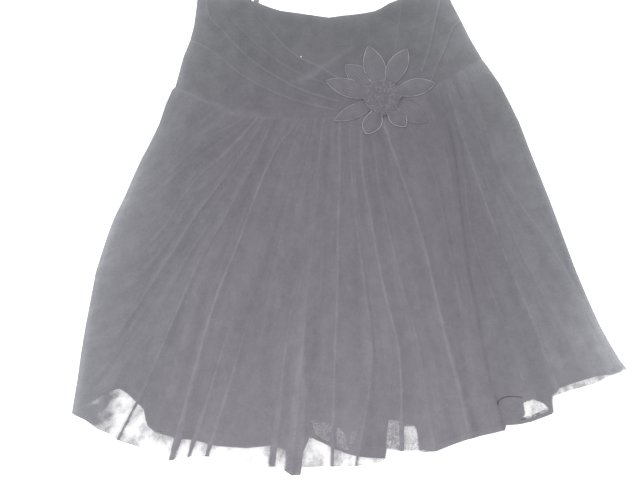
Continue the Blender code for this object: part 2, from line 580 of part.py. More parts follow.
def flower_disc(name):
    """The low beaded middle of the flower, on the roots of the petals."""
    middle = chart(FLOWER_ANGLE, FLOWER_RADIUS)
    sides = 30
    shares = np.array([0.22, 0.45, 0.68, 0.88, 1.0])
    turns = np.arange(sides) * 2.0 * np.pi / sides
    rings = np.array([[(share * math.cos(turn), share * math.sin(turn)) for turn in turns] for share in shares])
    flat = np.vstack([[(0.0, 0.0)], rings.reshape(-1, 2)]) * DISC_RADIUS
    reach = np.hypot(*flat.T) / DISC_RADIUS
    turn = np.arctan2(flat[:, 1], flat[:, 0])
    floor = float(flower_support(flat + middle).max()) + 2 * PETAL_STEP
    bumps = 0.45 * np.cos(turn * 10.0) * np.cos(reach * 9.0) * smoothstep(reach / 0.3)
    top = floor + 1.3 + 1.7 * np.sqrt(np.clip(1.0 - reach ** 2, 0.0, 1.0)) + bumps * (reach < 0.95)
    count = len(flat)
    bottom = np.full(count, floor)
    vertices = np.vstack([np.column_stack([flat + middle, bottom]), np.column_stack([flat + middle, top])])
    triangles = []
    for side in range(sides):
        after = (side + 1) % sides
        triangles.append((0, 1 + side, 1 + after))
        for ring in range(len(shares) - 1):
            inner, outer = 1 + ring * sides, 1 + (ring + 1) * sides
            triangles.append((inner + side, outer + side, outer + after))
            triangles.append((inner + side, outer + after, inner + after))
    faces = [triangle[::-1] for triangle in triangles]
    faces += [tuple(corner + count for corner in triangle) for triangle in triangles]
    last = 1 + (len(shares) - 1) * sides
    for side in range(sides):
        start, stop = last + side, last + (side + 1) % sides
        faces.append((start, stop, stop + count, start + count))
    return add_object(name, vertices, faces)


def loop_outline():
    """A ribbon folded into a flat loop that stands above the waist."""
    waist = float(np.interp(LOOP_ANGLE, WAIST["angle"], WAIST["radius"]))
    half, inner = LOOP_WIDTH / 2, LOOP_WIDTH / 2 - LOOP_RIBBON
    rise = LOOP_ABOVE - half
    outer = [(-half, -LOOP_BELOW), (-half, 0.0)]
    outer += [(half * math.cos(turn), rise + half * math.sin(turn)) for turn in np.linspace(np.pi, 0, 11)]
    outer += [(half, 0.0), (half, -LOOP_BELOW), (inner, -LOOP_BELOW), (inner, 0.0)]
    outer += [(inner * math.cos(turn), rise + inner * math.sin(turn)) for turn in np.linspace(0, np.pi, 9)]
    outer += [(-inner, 0.0), (-inner, -LOOP_BELOW)]
    shape = np.array(outer)[::-1]
    turn = math.radians(LOOP_ANGLE)
    right = np.array([math.cos(turn), math.sin(turn)])
    up = np.array([-math.sin(turn), math.cos(turn)])
    return chart(LOOP_ANGLE, waist) + shape[:, :1] * right + shape[:, 1:] * up


def level(height):
    return lambda points: np.full(len(points), height)


def lining_outline(hem_shift):
    """The lining keeps away from the side seams, most of all low on the left."""
    inset = table("radius inset", [(580, 18), (610, 12), (700, 13), (800, 14), (900, 17), (960, 22), (1000, 26)])
    hem = hem_moved(LINING_HEM, hem_shift)
    left = np.linspace(588.0, 980.0, 28)
    left_angle = np.interp(left, LEFT_SIDE["radius"], LEFT_SIDE["angle"])
    left_angle += np.degrees(np.interp(left, inset["radius"], inset["inset"]) / left)
    right = np.linspace(575.0, 1010.0, 30)
    right_inset = np.interp(right, (575.0, 610.0), (LINING_INSET + 6.0, LINING_INSET))
    right_angle = np.interp(right, RIGHT_SIDE["radius"], RIGHT_SIDE["angle"]) - np.degrees(right_inset / right)
    low = max(left_angle[-1] + 0.2, -19.6)
    bottom = edge_line(hem, low, right_angle[-1] - 0.15)
    top = edge_line(YOKE_SEAM, left_angle[0] + 0.2, right_angle[0] - 0.2, 2.0)
    left_line = chart(left_angle, left)[1:-1]
    right_line = chart(right_angle, right)[1:-1]
    return closed_outline(left_line, bottom, right_line[::-1], top[::-1])


def centred_on_origin(pieces):
    """Put the middle of the whole skirt's box over the origin, its lowest point at 0."""
    points = np.array([tuple(vertex.co) for piece in pieces for vertex in piece.data.vertices])
    low, high = points.min(axis=0), points.max(axis=0)
    shift = np.array([(low[0] + high[0]) / 2, (low[1] + high[1]) / 2, low[2]])
    for piece in pieces:
        for vertex in piece.data.vertices:
            vertex.co = Vector(np.array(vertex.co) - shift)
    print("shift in mm", np.round(shift / MM, 3))


def main():
    for start_object in list(bpy.data.objects):
        bpy.data.objects.remove(start_object, do_unlink=True)
    half_gap = SEAM_GAP / 2
    pieces = []
    pieces.append(cloth("back_yoke", yoke_outline(half_gap), level(0.0), BACK_YOKE_WALL, spacing=60.0))
    pieces.append(cloth("back_skirt", skirt_outline(BACK_HEM, half_gap), level(0.0), BACK_WALL,
                        spacing=90.0))
    pieces.append(cloth("back_lining", lining_outline(0.0), level(BACK_LINING_Z), LINING_WALL, spacing=90.0))
    pieces.append(cloth("front_lining", lining_outline(-5.0), level(FRONT_LINING_Z), LINING_WALL,
                        spacing=90.0))
    side_rows = inset_rows(LEFT_SIDE, 580.0, 1020.0) + inset_rows(RIGHT_SIDE, 570.0, 1012.0) + hem_rows()
    pieces.append(cloth("front_skirt", skirt_outline(FRONT_HEM, half_gap), skirt_underside, SHEER_WALL,
                        SKIRT_SHAPES, rows=side_rows))
    yoke_rows = inset_rows(LEFT_YOKE_SIDE, 450.0, 564.0) + inset_rows(RIGHT_YOKE_SIDE, 450.0, 556.0)
    pieces.append(cloth("front_yoke", yoke_outline(half_gap), yoke_underside, YOKE_WALL,
                        TUCK_SHAPES, spacing=20.0, crest_step=16.0, flank_gap=1.6, rows=yoke_rows))
    for petal in PETALS:
        pieces.append(cloth(petal.name, petal_outline(petal), petal_underside(petal), PETAL_WALL,
                            spacing=9.0, rim=PETAL_RIM))
    pieces.append(flower_disc("flower_centre"))
    pieces.append(cloth("hanging_loop", loop_outline(), level(RIBBON_Z), RIBBON_WALL, spacing=30.0))
    centred_on_origin(pieces)
    for piece in pieces:
        print(piece.name, sum(len(face.vertices) - 2 for face in piece.data.polygons), "triangles")


main()
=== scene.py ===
# %% [markdown]
# A sheer skirt laid flat
#
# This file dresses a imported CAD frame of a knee-length skirt. The skirt lies on a pale
# surface with its front up: a tucked hip yoke, a gathered sheer skirt over a lining, and an
# applied flower. Each cell makes one piece or one finish and says why it is made that way.

# %% Load the frame
import math

import bpy
import numpy as np
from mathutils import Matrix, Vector


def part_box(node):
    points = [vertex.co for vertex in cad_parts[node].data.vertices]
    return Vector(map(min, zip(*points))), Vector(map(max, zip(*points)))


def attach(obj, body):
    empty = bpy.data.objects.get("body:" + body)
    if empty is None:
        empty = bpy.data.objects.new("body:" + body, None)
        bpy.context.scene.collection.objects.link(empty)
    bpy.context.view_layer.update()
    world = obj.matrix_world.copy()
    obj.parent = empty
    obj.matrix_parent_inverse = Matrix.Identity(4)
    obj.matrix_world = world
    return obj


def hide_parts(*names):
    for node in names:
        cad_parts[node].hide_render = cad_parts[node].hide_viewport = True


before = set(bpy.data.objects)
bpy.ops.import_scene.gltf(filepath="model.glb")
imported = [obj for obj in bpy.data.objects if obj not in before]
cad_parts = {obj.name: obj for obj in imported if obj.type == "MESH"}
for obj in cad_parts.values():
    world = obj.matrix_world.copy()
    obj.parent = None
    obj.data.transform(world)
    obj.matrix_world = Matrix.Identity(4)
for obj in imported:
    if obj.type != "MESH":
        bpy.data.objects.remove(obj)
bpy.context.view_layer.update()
print("frame loaded with", len(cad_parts), "nodes")

# %% [markdown]
# The chart
#
# A flared skirt laid flat is a piece of a ring, so its places are easiest to give as an
# angle from the centre line and a radius from the point where its sides would meet. The
# flower's middle is known in both systems and ties the chart to the frame.

# %% Chart helpers
MM = 0.001
FLOWER_ANGLE = 7.0
FLOWER_RADIUS = 569.0


def on_chart(angle, radius):
    """x = r sin(a), y = -r cos(a), for angles in degrees and radii in mm."""
    turn = np.radians(angle)
    return np.stack([radius * np.sin(turn), -radius * np.cos(turn)], axis=-1)


def chart_line(places):
    """Flat points in mm of a list of (angle, radius) places."""
    return on_chart(*np.array(places, dtype=float).T)


def length(flat):
    """Length of each flat vector: the root of x squared plus y squared."""
    return np.hypot(flat[..., 0], flat[..., 1])


def chart_place(flat):
    """The way back from flat points: a = atan2(x, -y) in degrees, and r is their length."""
    return np.degrees(np.arctan2(flat[..., 0], -flat[..., 1])), length(flat)


FLOWER_FLAT = on_chart(FLOWER_ANGLE, FLOWER_RADIUS)
disc_low, disc_high = (np.array(corner[:2]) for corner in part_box("flower_centre"))
APEX = (disc_low + disc_high) / 2 / MM - FLOWER_FLAT
print("chart apex in mm", np.round(APEX, 2))

# %% Small number helpers


def table(columns, rows):
    """One number array per named column."""
    return dict(zip(columns.split(), np.array(rows, dtype=float).T))


def smoothstep(value):
    """3t^2 - 2t^3 between 0 and 1."""
    value = np.clip(value, 0.0, 1.0)
    return value * value * (3.0 - 2.0 * value)


def smoothed(values, reach):
    """Each row as the mean of its neighbours up to reach, weighted by a bell, ends kept."""
    weights = np.hanning(2 * reach + 3)[1:-1]
    weights = weights / weights.sum()
    before = 2 * values[:1] - values[reach:0:-1]
    after = 2 * values[-1:] - values[-2:-reach - 2:-1]
    padded = np.concatenate([before, values, after])
    return np.stack([np.convolve(column, weights, mode="valid") for column in padded.T], axis=-1)


def glow(distance, reach):
    """A light that fades away from an edge: exp(-distance / reach)."""
    return np.exp(-distance / reach)


def soft_line(distance, reach):
    """A soft band on both sides of a line: exp(-(distance / reach)^2)."""
    return np.exp(-(distance / reach) ** 2)


print("smoothstep at 0.25, 0.5 and 0.75:", smoothstep(np.array([0.25, 0.5, 0.75])))

# %% [markdown]
# Edges of the pieces
#
# A cut edge could be drawn as a curve, but a short table of places is easier to check
# against a picture. These are close to the tables that the CAD part is cut from: the two
# sides, the waist, the yoke seam and the hems. The left end of the seam and some places of
# the back hem lie a few millimetres elsewhere, because the cloth looks truer that way. A jog
# in a hem is where a fold lifts the cloth and pulls the edge up.

# %% Edge tables
LEFT_YOKE_SIDE = table("radius angle", [
    (443, -22.30), (465, -21.70), (484, -21.30), (505, -21.18), (528, -21.40), (555, -21.28),
    (571, -21.22)])
RIGHT_YOKE_SIDE = table("radius angle", [
    (445, 21.24), (476, 21.08), (505, 21.24), (529, 21.31), (561, 21.62)])
LEFT_SIDE = table("radius angle", [
    (571, -21.27), (575, -21.50), (595, -21.72), (625, -21.75), (654, -22.10), (675, -22.43),
    (703, -22.68), (732, -22.85), (759, -23.12), (780, -23.20), (811, -23.16), (840, -23.10),
    (872, -22.77), (921, -22.33), (954, -22.00), (983, -21.69), (1030, -21.30)])
RIGHT_SIDE = table("radius angle", [
    (561, 21.60), (571, 21.84), (601, 22.30), (631, 22.38), (661, 22.36), (699, 22.06),
    (735, 21.86), (771, 21.68), (821, 21.37), (871, 21.09), (919, 20.99), (951, 20.98),
    (979, 21.10), (1005, 21.25), (1021, 21.47)])
WAIST = table("angle radius", [
    (-22.30, 443.0), (-19.30, 438.6), (-16.50, 435.0), (-13.90, 433.3), (-11.50, 435.8),
    (-9.40, 440.1), (-7.70, 443.0), (-4.90, 445.0), (-2.00, 448.4), (0.70, 452.6), (2.90, 451.8),
    (6.20, 452.8), (8.60, 453.0), (9.80, 450.9), (11.20, 447.4), (12.90, 446.2), (17.00, 445.0),
    (21.24, 444.8)])
YOKE_SEAM = table("angle radius", [
    (-20.90, 571.0), (-18.20, 573.3), (-16.15, 579.0), (-14.40, 583.6), (-12.60, 586.2),
    (-10.70, 587.5), (-8.70, 587.0), (-6.70, 586.8), (-4.10, 586.3), (-1.80, 586.4), (0.50, 586.0),
    (4.00, 584.5), (8.00, 580.0), (11.50, 573.5), (14.20, 569.0), (16.80, 568.6), (18.20, 563.4),
    (19.80, 560.8), (21.60, 561.2)])
FRONT_HEM = table("angle radius", [
    (-21.30, 1030), (-20.20, 1033), (-19.20, 1040), (-18.30, 1042), (-17.50, 1047), (-16.10, 1050),
    (-15.20, 1054), (-14.70, 1058), (-13.60, 1061), (-13.15, 1058), (-12.80, 1047), (-12.50, 1057),
    (-12.15, 1052), (-11.80, 1049), (-11.10, 1048), (-10.40, 1048), (-9.10, 1053), (-8.00, 1056),
    (-6.30, 1055), (-5.35, 1054), (-5.20, 1058), (-4.60, 1065), (-3.95, 1065), (-3.85, 1054),
    (-1.60, 1054), (0.40, 1055), (1.85, 1053), (2.32, 1049), (2.45, 1036), (3.30, 1040),
    (4.60, 1045), (6.00, 1048), (7.00, 1044), (8.50, 1040), (9.60, 1040), (11.30, 1040),
    (11.45, 1034), (12.50, 1038), (13.40, 1040), (14.30, 1039), (15.15, 1038), (15.45, 1016),
    (16.90, 1016), (17.60, 1018), (18.90, 1020), (20.10, 1018), (21.47, 1021)])
BACK_HEM = table("angle radius", [
    (-21.05, 1027), (-20.20, 1010), (-19.30, 990), (-18.40, 979), (-17.50, 984), (-16.60, 993),
    (-16.00, 1000), (-15.60, 1019), (-14.90, 1026), (-13.30, 1029), (-11.90, 1028), (-10.30, 1032),
    (-8.00, 1031), (-6.20, 1026), (-5.20, 1030), (-4.20, 1038), (-3.75, 1034), (-3.25, 1013), (-2.50, 1020),
    (-1.50, 1030), (-0.40, 1039), (0.45, 1043), (1.30, 1046), (2.25, 1049), (2.45, 1035),
    (3.30, 1039), (4.60, 1044), (6.00, 1044), (7.00, 1040), (8.50, 1036), (11.20, 1036),
    (11.50, 1031), (12.50, 1035), (13.40, 1037), (14.30, 1036), (15.10, 1035), (15.42, 1014),
    (15.80, 1013), (16.10, 1008), (17.40, 1009), (18.85, 1011), (19.60, 1014), (20.30, 1019), (21.30, 1018)])
LINING_HEM = table("angle radius", [
    (-18.90, 981), (-18.30, 976), (-17.50, 981), (-16.60, 990), (-16.10, 997), (-15.70, 1014),
    (-14.90, 1022), (-13.30, 1025), (-11.90, 1025), (-10.30, 1028), (-8.00, 1027), (-6.20, 1022),
    (-5.20, 1026), (-4.30, 1030), (-3.70, 1012), (-3.40, 990), (-1.45, 996), (-0.40, 1005),
    (0.50, 1009), (0.75, 1024), (1.80, 1034), (2.20, 1034), (2.50, 1024), (2.80, 996),
    (3.60, 1000), (4.80, 1010), (5.15, 1036), (6.00, 1040), (7.00, 1036), (8.50, 1032),
    (11.20, 1032), (11.50, 1026), (12.30, 1022), (12.70, 999), (14.60, 1001), (15.00, 1006),
    (15.60, 1004), (17.00, 1003), (18.90, 1006), (20.60, 1011)])


def radius_of(edge, angle):
    """Radius of a waist, seam or hem at an angle, straight between its places."""
    return np.interp(angle, edge["angle"], edge["radius"])


def angle_of(side, radius):
    """Angle of a side edge at a radius, straight between its places."""
    return np.interp(radius, side["radius"], side["angle"])


def whole_side(upper, lower):
    """The side of the yoke and the side of the skirt as one table."""
    return {key: np.concatenate([upper[key], lower[key]]) for key in upper}


def from_sides(angle, radius, left, right):
    """Arc lengths in mm from both sides: the difference in angle, in radians, times r."""
    from_left = np.radians(angle - angle_of(left, radius)) * radius
    from_right = np.radians(angle_of(right, radius) - angle) * radius
    return from_left, from_right


LEFT_EDGE = whole_side(LEFT_YOKE_SIDE, LEFT_SIDE)
RIGHT_EDGE = whole_side(RIGHT_YOKE_SIDE, RIGHT_SIDE)
print("front hem from", FRONT_HEM["radius"].min(), "to", FRONT_HEM["radius"].max(), "mm")

# %% [markdown]
# How the light washes out the black
#
# The cloth is black, but strong light has turned it grey, and more so near every edge, where
# the light creeps round. This could be left to the lamps, but they would have to stand inside
# the picture. So one number for each point, its paleness, carries it: a slow rise down the
# skirt and a glow that fades away from each edge. A second number says whether the grey leans
# to mauve or to blue. Both come from the chart alone, so pieces that meet at a seam agree.

# %% Paleness and coolness
SKIRT_TOP = 560.0
SOFT_CREASE = chart_line([(-5.2, 537.0), (-2.4, 530.0), (-0.6, 519.0), (1.4, 513.0), (2.6, 499.0)])


def edge_distances(angle, radius):
    """Distances in mm inside the left and the right side edge, 0 outside."""
    return [np.maximum(gap, 0.0) for gap in from_sides(angle, radius, LEFT_EDGE, RIGHT_EDGE)]


def paleness(angle, radius):
    """1, plus a rise down the skirt, plus a glow from each edge, plus a few soft lines."""
    left, right = edge_distances(angle, radius)
    hem = np.maximum(radius_of(FRONT_HEM, angle) - radius, 0.0)
    waist = np.maximum(radius - radius_of(WAIST, angle), 0.0)
    seam = radius - radius_of(YOKE_SEAM, angle)
    crease, place = distance_to(on_chart(angle, radius), SOFT_CREASE)
    # Parts of the skirt, each 1 inside and 0 outside: all of it, its top, middle and foot.
    skirt = smoothstep((radius - SKIRT_TOP) / 60.0)
    upper = smoothstep((radius - SKIRT_TOP) / 16.0) * (1.0 - smoothstep((radius - 640.0) / 120.0))
    middle = smoothstep((radius - 605.0) / 50.0) * (1.0 - smoothstep((radius - 800.0) / 90.0))
    low_left = smoothstep((radius - 760.0) / 120.0) * smoothstep((-16.5 - angle) / 2.5)
    low_right = smoothstep((radius - 850.0) / 140.0)
    left_seam = 1.0 - smoothstep((angle + 11.0) / 7.0)
    # The whole skirt grows paler towards its hem.
    pale = 1.0 + 0.38 * np.clip((radius - 640.0) / 360.0, 0.0, 1.0) + 0.08 * glow(hem, 40.0)
    # At the left side a wide glow, a narrow one and a bright line lie over each other.
    pale = pale + (0.14 - 0.03 * skirt) * glow(left, 62.0)
    pale = pale + (0.34 + 0.08 * skirt - 0.18 * upper) * glow(left, 22.0)
    pale = pale + (0.50 - 0.30 * upper) * glow(left, 4.0)
    pale = pale + 0.27 * middle * soft_line(left, 14.0) - 0.08 * low_left
    # The right side has the same, and is widest on the yoke and at the foot of the skirt.
    pale = pale + (0.60 - 0.30 * skirt) * glow(right, 36.0 - 6.0 * skirt)
    pale = pale + low_right * glow(right, 27.0) + 0.60 * glow(right, 4.0)
    # The waist and the left half of the seam are thin light lines.
    pale = pale + 0.50 * glow(waist, 5.5) + 0.12 * soft_line(seam, 4.0) * left_seam
    # One soft crease of the yoke is lighter, and a band down the right of the skirt darker.
    pale = pale + (0.03 + 0.10 * soft_line(place - 0.45, 0.28)) * soft_line(crease, 8.0)
    return pale - 0.07 * skirt * soft_line(angle - 13.0, 5.0)


def coolness(angle, radius):
    """0 where the grey leans to mauve, mid-skirt, and 1 where it leans to blue, at the sides."""
    left, right = edge_distances(angle, radius)
    yoke = 1.0 - smoothstep((radius - 480.0) / 110.0)
    return np.clip(glow(left, 60.0) + glow(right, 70.0) + 0.6 * yoke, 0.0, 1.0)


print("the soft crease starts at", np.round(SOFT_CREASE[0] + APEX, 1), "mm")

# %% [markdown]
# Folds of the sheer front
#
# Gathers that start at the yoke seam run down as long creases, and three of them sweep out
# to the left side. Each row is one crease: its rise in mm at five places from seam to end,
# its half width in mm on the left and right at top and bottom, how strong a painted highlight
# its pressed edge gets (a negative number paints a dark line of shade along it instead), the
# half width of the flattened fold where the cloth lies three deep, and its line on the chart.
# Rows with no rise only guide the columns of the mesh. A cloth simulation would make folds
# too, but not these folds in these places.

# %% Fold table
FOLDS = {
    "side_edge_left": ((0, 0, 0, 0, 0), (4, 4, 4, 4), 0.0, 0.0, [
        (-21.27, 571), (-21.50, 575), (-21.72, 595), (-21.75, 625), (-22.10, 654)]),
    "side_sweep_1": ((0.8, 2.0, 3.0, 2.4, 1.4), (4, 9, 4, 11), 0.5, 0.0, [
        (-11.3, 588), (-12.5, 601), (-15.5, 626), (-17.4, 654), (-19.2, 691), (-20.7, 713), (-22.85, 742)]),
    "side_sweep_2": ((0.8, 2.2, 3.2, 2.5, 1.4), (4, 9, 4, 11), 0.45, 0.0, [
        (-9.6, 588), (-11.6, 618), (-13.4, 646), (-16.0, 682), (-17.9, 752), (-19.6, 800), (-23.1, 850)]),
    "side_sweep_3": ((0.8, 2.2, 3.4, 2.5, 1.4), (3, 10, 3, 12), 0.45, 0.0, [
        (-8.6, 588), (-10.5, 627), (-12.9, 679), (-14.9, 725), (-16.3, 775), (-17.5, 820), (-18.4, 860),
        (-19.4, 905), (-21.98, 952)]),
    "left_corner": ((0, 0, 0, 0, 0), (6, 6, 6, 6), 0.0, 0.0, [
        (-8.05, 588), (-9.9, 632), (-11.9, 685), (-13.6, 735), (-15.4, 795), (-16.7, 850), (-18.4, 920),
        (-19.9, 980), (-21.30, 1030)]),
    "left_flare_4": ((0.8, 2.4, 4.0, 4.5, 5.0), (3, 9, 3, 12), 0.65, 0.8, [
        (-7.5, 588), (-9.6, 650), (-11.0, 690), (-12.2, 733), (-13.9, 786), (-14.8, 845), (-15.8, 921),
        (-16.5, 977), (-17.50, 1047)]),
    "left_billow": ((0, 0, 0.8, 2.4, 1.2), (10, 14, 10, 14), 0.0, 0.0, [
        (-5.8, 588), (-8.2, 650), (-9.9, 700), (-11.3, 760), (-12.9, 840), (-13.9, 900), (-14.3, 960),
        (-15.0, 1056)]),
    "left_flare_5": ((1.2, 3.4, 5.5, 5.5, 5.5), (5, 9, 5, 12), 1.3, 4.6, [
        (-3.9, 588), (-5.2, 602), (-6.9, 625), (-8.2, 658), (-9.3, 707), (-10.4, 763), (-11.5, 817),
        (-12.3, 880), (-12.6, 935), (-12.9, 976), (-13.3, 1060)]),
    "left_low_5": ((0, 0, 0.2, 0.7, 1.2), (6, 6, 6, 8), 0.15, 2.2, [
        (-3.3, 588), (-5.9, 650), (-7.2, 710), (-8.4, 770), (-9.6, 830), (-10.6, 900), (-11.3, 970),
        (-12.2, 1052)]),
    "left_flare_6": ((0, 0, 0.3, 0.7, 1.0), (8, 8, 8, 8), 0.12, 1.6, [
        (-2.8, 588), (-4.6, 650), (-5.9, 710), (-7.1, 770), (-8.0, 820), (-8.9, 880), (-9.9, 960),
        (-10.9, 1048)]),
    "middle_billow": ((0, 0, 1.8, 2.4, 1.8), (10, 16, 10, 16), 0.0, 0.0, [
        (-2.2, 588), (-3.6, 650), (-5.0, 700), (-6.0, 760), (-6.6, 820), (-7.0, 880), (-7.4, 980),
        (-8.0, 1056)]),
    "middle_low_7": ((0, 0, 0.3, 0.7, 1.0), (7, 8, 7, 8), 0.12, 3.0, [
        (-1.6, 588), (-2.6, 650), (-3.4, 710), (-4.2, 770), (-4.8, 830), (-5.4, 920), (-5.8, 1000),
        (-6.0, 1055)]),
    "middle_flare_7": ((1.0, 2.5, 4.0, 4.5, 5.0), (6, 10, 5, 12), 0.25, 12.0, [
        (-0.9, 588), (-1.3, 603), (-1.6, 623), (-2.1, 676), (-2.8, 763), (-3.4, 830), (-4.1, 964),
        (-4.55, 1065)]),
    "middle_step": ((0, 0, 0, 0, 0), (5, 5, 5, 5), 0.0, 0.0, [
        (0.0, 588), (-0.5, 623), (-0.9, 676), (-1.6, 763), (-2.3, 850), (-3.3, 964), (-3.89, 1062)]),
    "middle_flare_8": ((0.8, 2.5, 4.2, 4.1, 4.0), (4, 8, 4, 7), 0.9, 0.9, [
        (0.9, 586), (0.7, 644), (0.0, 724), (-0.6, 831), (-1.2, 938), (-1.65, 1054)]),
    "middle_flare_9": ((0.8, 2.2, 3.6, 3.1, 2.6), (3, 9, 4, 9), 0.6, 0.7, [
        (2.3, 586), (1.8, 673), (1.9, 733), (2.0, 780), (2.1, 841), (2.2, 896), (1.5, 962), (0.1, 1055)]),
    "centre_step": ((0, 0, 0, 0, 0), (5, 5, 5, 5), 0.0, 0.0, [
        (3.1, 586), (2.5, 660), (2.65, 733), (2.8, 783), (3.0, 844), (3.3, 896), (3.0, 962), (2.38, 1045)]),
    "centre_flare_10": ((0.8, 3.0, 5.0, 5.0, 5.0), (3, 8, 4, 8), 1.2, 1.4, [
        (3.9, 586), (3.1, 660), (3.4, 718), (3.6, 783), (3.9, 844), (4.4, 886), (4.3, 933), (3.9, 986),
        (3.5, 1041)]),
    "centre_flare_11": ((0.8, 2.2, 3.6, 3.1, 2.6), (3, 9, 3, 10), 0.6, 0.0, [
        (5.3, 584), (4.8, 683), (5.1, 740), (5.3, 779), (5.4, 820), (5.9, 867), (6.1, 922), (6.0, 975),
        (5.9, 1048)]),
    "centre_flare_12": ((0.8, 3.2, 5.5, 5.5, 5.5), (4, 10, 4, 13), 1.2, 3.6, [
        (6.3, 582), (7.4, 668), (8.0, 722), (8.4, 780), (8.4, 848), (8.5, 925), (8.7, 967), (8.7, 1040)]),
    "right_short_13": ((0.8, 3.0, 0.8, 0.0, 0.0), (5, 9, 5, 9), 0.5, 0.0, [
        (8.4, 580), (9.3, 612), (10.7, 645), (11.2, 690), (10.9, 745), (10.6, 820), (10.2, 900), (10.0, 970),
        (10.0, 1040)]),
    "right_short_14": ((0.8, 1.6, 0.0, 0.0, 0.0), (3, 6, 3, 6), 0.4, 0.0, [
        (12.4, 573), (13.0, 610), (13.1, 650), (12.8, 700), (12.0, 745), (11.25, 820), (10.9, 900),
        (10.6, 963), (10.7, 1040)]),
    "right_flare_15": ((0.8, 3.0, 4.4, 4.0, 3.6), (4, 11, 4, 8), -1.0, 0.0, [
        (14.5, 570), (14.4, 630), (13.8, 682), (12.7, 746), (11.9, 820), (11.5, 902),
        (11.2, 963), (11.3, 1040)]),
    "right_inner_15": ((0, 0, 2.4, 1.2, 0.0), (7, 9, 7, 9), 0.5, 0.0, [
        (15.25, 569), (14.95, 640), (14.5, 690), (13.5, 740), (13.1, 770), (13.2, 823), (13.5, 870),
        (13.7, 940), (13.7, 1040)]),
    "right_step": ((0, 0, 0, 0, 0), (5, 5, 5, 5), 0.0, 0.0, [
        (15.6, 569), (15.25, 636), (15.0, 690), (14.6, 760), (14.5, 829), (14.8, 895), (15.0, 960),
        (15.3, 1027)]),
    "right_flare_16": ((0.8, 3.0, 4.4, 4.0, 3.6), (4, 8, 4, 11), 0.9, 0.0, [
        (15.9, 569), (15.5, 633), (15.5, 694), (15.5, 754), (15.6, 829), (15.9, 895), (16.0, 1016)]),
    "right_low_18": ((0, 0, 0.8, 2.4, 2.8), (9, 11, 9, 11), 0.3, 0.0, [
        (17.2, 568), (17.0, 640), (16.8, 700), (16.9, 760), (17.0, 820), (17.7, 890),
        (18.2, 950), (18.5, 1019)]),
    "right_side_17": ((0.8, 3.0, 2.4, 0.6, 0.0), (6, 9, 5, 8), 0.6, 0.0, [
        (18.6, 562), (18.5, 636), (18.2, 671), (18.1, 712), (18.8, 765), (19.8, 815), (20.3, 870),
        (20.6, 950), (20.9, 1018)]),
    "side_edge_right": ((0, 0, 0, 0, 0), (4, 4, 4, 4), 0.0, 0.0, [
        (21.60, 561), (21.84, 571), (22.30, 601), (22.38, 631), (22.36, 661), (22.06, 699), (21.86, 735),
        (21.68, 771), (21.37, 821), (21.09, 871), (20.99, 919), (20.98, 951), (21.10, 979), (21.25, 1005),
        (21.47, 1021)]),
}
ENDS_ON_SIDE = 5
print(len(FOLDS), "guides, of which the first", ENDS_ON_SIDE, "end on the left side")

# %% [markdown]
# From numbers to meshes
#
# Every piece is a grid of points worked out as whole arrays. The grid becomes a mesh in one
# call, takes its UV map from two more arrays, and carries named numbers for its material,
# such as how near a point is to a pressed edge. Solidify then gives the sheet a real wall.

# %% Mesh helpers
SHARP_EDGE = math.radians(70.0)


def grid_faces(rows, columns, closed=False):
    """Quads of a grid, counter-clockwise seen from above when columns run to the right."""
    index = np.arange(rows * columns).reshape(rows, columns)
    right = np.roll(index, -1, axis=1) if closed else index[:, 1:]
    left = index if closed else index[:, :-1]
    quads = np.stack([left[1:], right[1:], right[:-1], left[:-1]], axis=-1)
    return quads.reshape(-1, 4)


def mesh_piece(name, points, faces, material, uv=None, numbers=None, wall=0.0):
    """A mesh object from points in mm on the frame, with UVs and named numbers per point."""
    angle, radius = chart_place(points.reshape(-1, 3)[:, :2] - APEX)
    numbers = {"pale": paleness(angle, radius), "cool": coolness(angle, radius), **(numbers or {})}
    points = points.reshape(-1, 3) * MM
    mesh = bpy.data.meshes.new(name)
    mesh.from_pydata(points.tolist(), [], faces.tolist() if isinstance(faces, np.ndarray) else faces)
    mesh.update()
    corners = np.zeros(len(mesh.loops), dtype=np.int32)
    mesh.loops.foreach_get("vertex_index", corners)
    if uv is not None:
        layer = mesh.uv_layers.new(name="cloth")
        layer.data.foreach_set("uv", uv.reshape(-1, 2)[corners].astype(np.float32).ravel())
    for label, values in numbers.items():
        field = mesh.attributes.new(label, "FLOAT", "POINT")
        field.data.foreach_set("value", np.asarray(values, dtype=np.float32).ravel())
    mesh.polygons.foreach_set("use_smooth", np.full(len(mesh.polygons), True))
    mesh.materials.append(material)
    piece = bpy.data.objects.new(name, mesh)
    bpy.context.scene.collection.objects.link(piece)
    if wall:
        shell = piece.modifiers.new("wall", "SOLIDIFY")
        shell.thickness = wall * MM
        shell.offset = -1.0
        shell.use_even_offset = False
        edges = piece.modifiers.new("sharp_rim", "EDGE_SPLIT")
        edges.split_angle = SHARP_EDGE
    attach(piece, "root")
    print(name, "has", len(mesh.vertices), "points and", len(mesh.polygons), "faces")
    return piece


def placed(flat, height):
    """Flat chart points in mm and their heights as frame points."""
    return np.concatenate([flat + APEX, height[..., None]], axis=-1)


print("a grid of 3 by 4 points has", len(grid_faces(3, 4)), "faces")

# %% Lines and distances


def along_line(line, places):
    """Points of a line at the given shares of its length."""
    reach = np.concatenate([[0.0], np.cumsum(length(np.diff(line, axis=0)))])
    return np.stack([np.interp(places * reach[-1], reach, line[:, axis]) for axis in (0, 1)], axis=-1)


def even_line(places):
    """A line through chart places as 60 points at even steps of its length."""
    return along_line(chart_line(places), np.linspace(0.0, 1.0, 60))


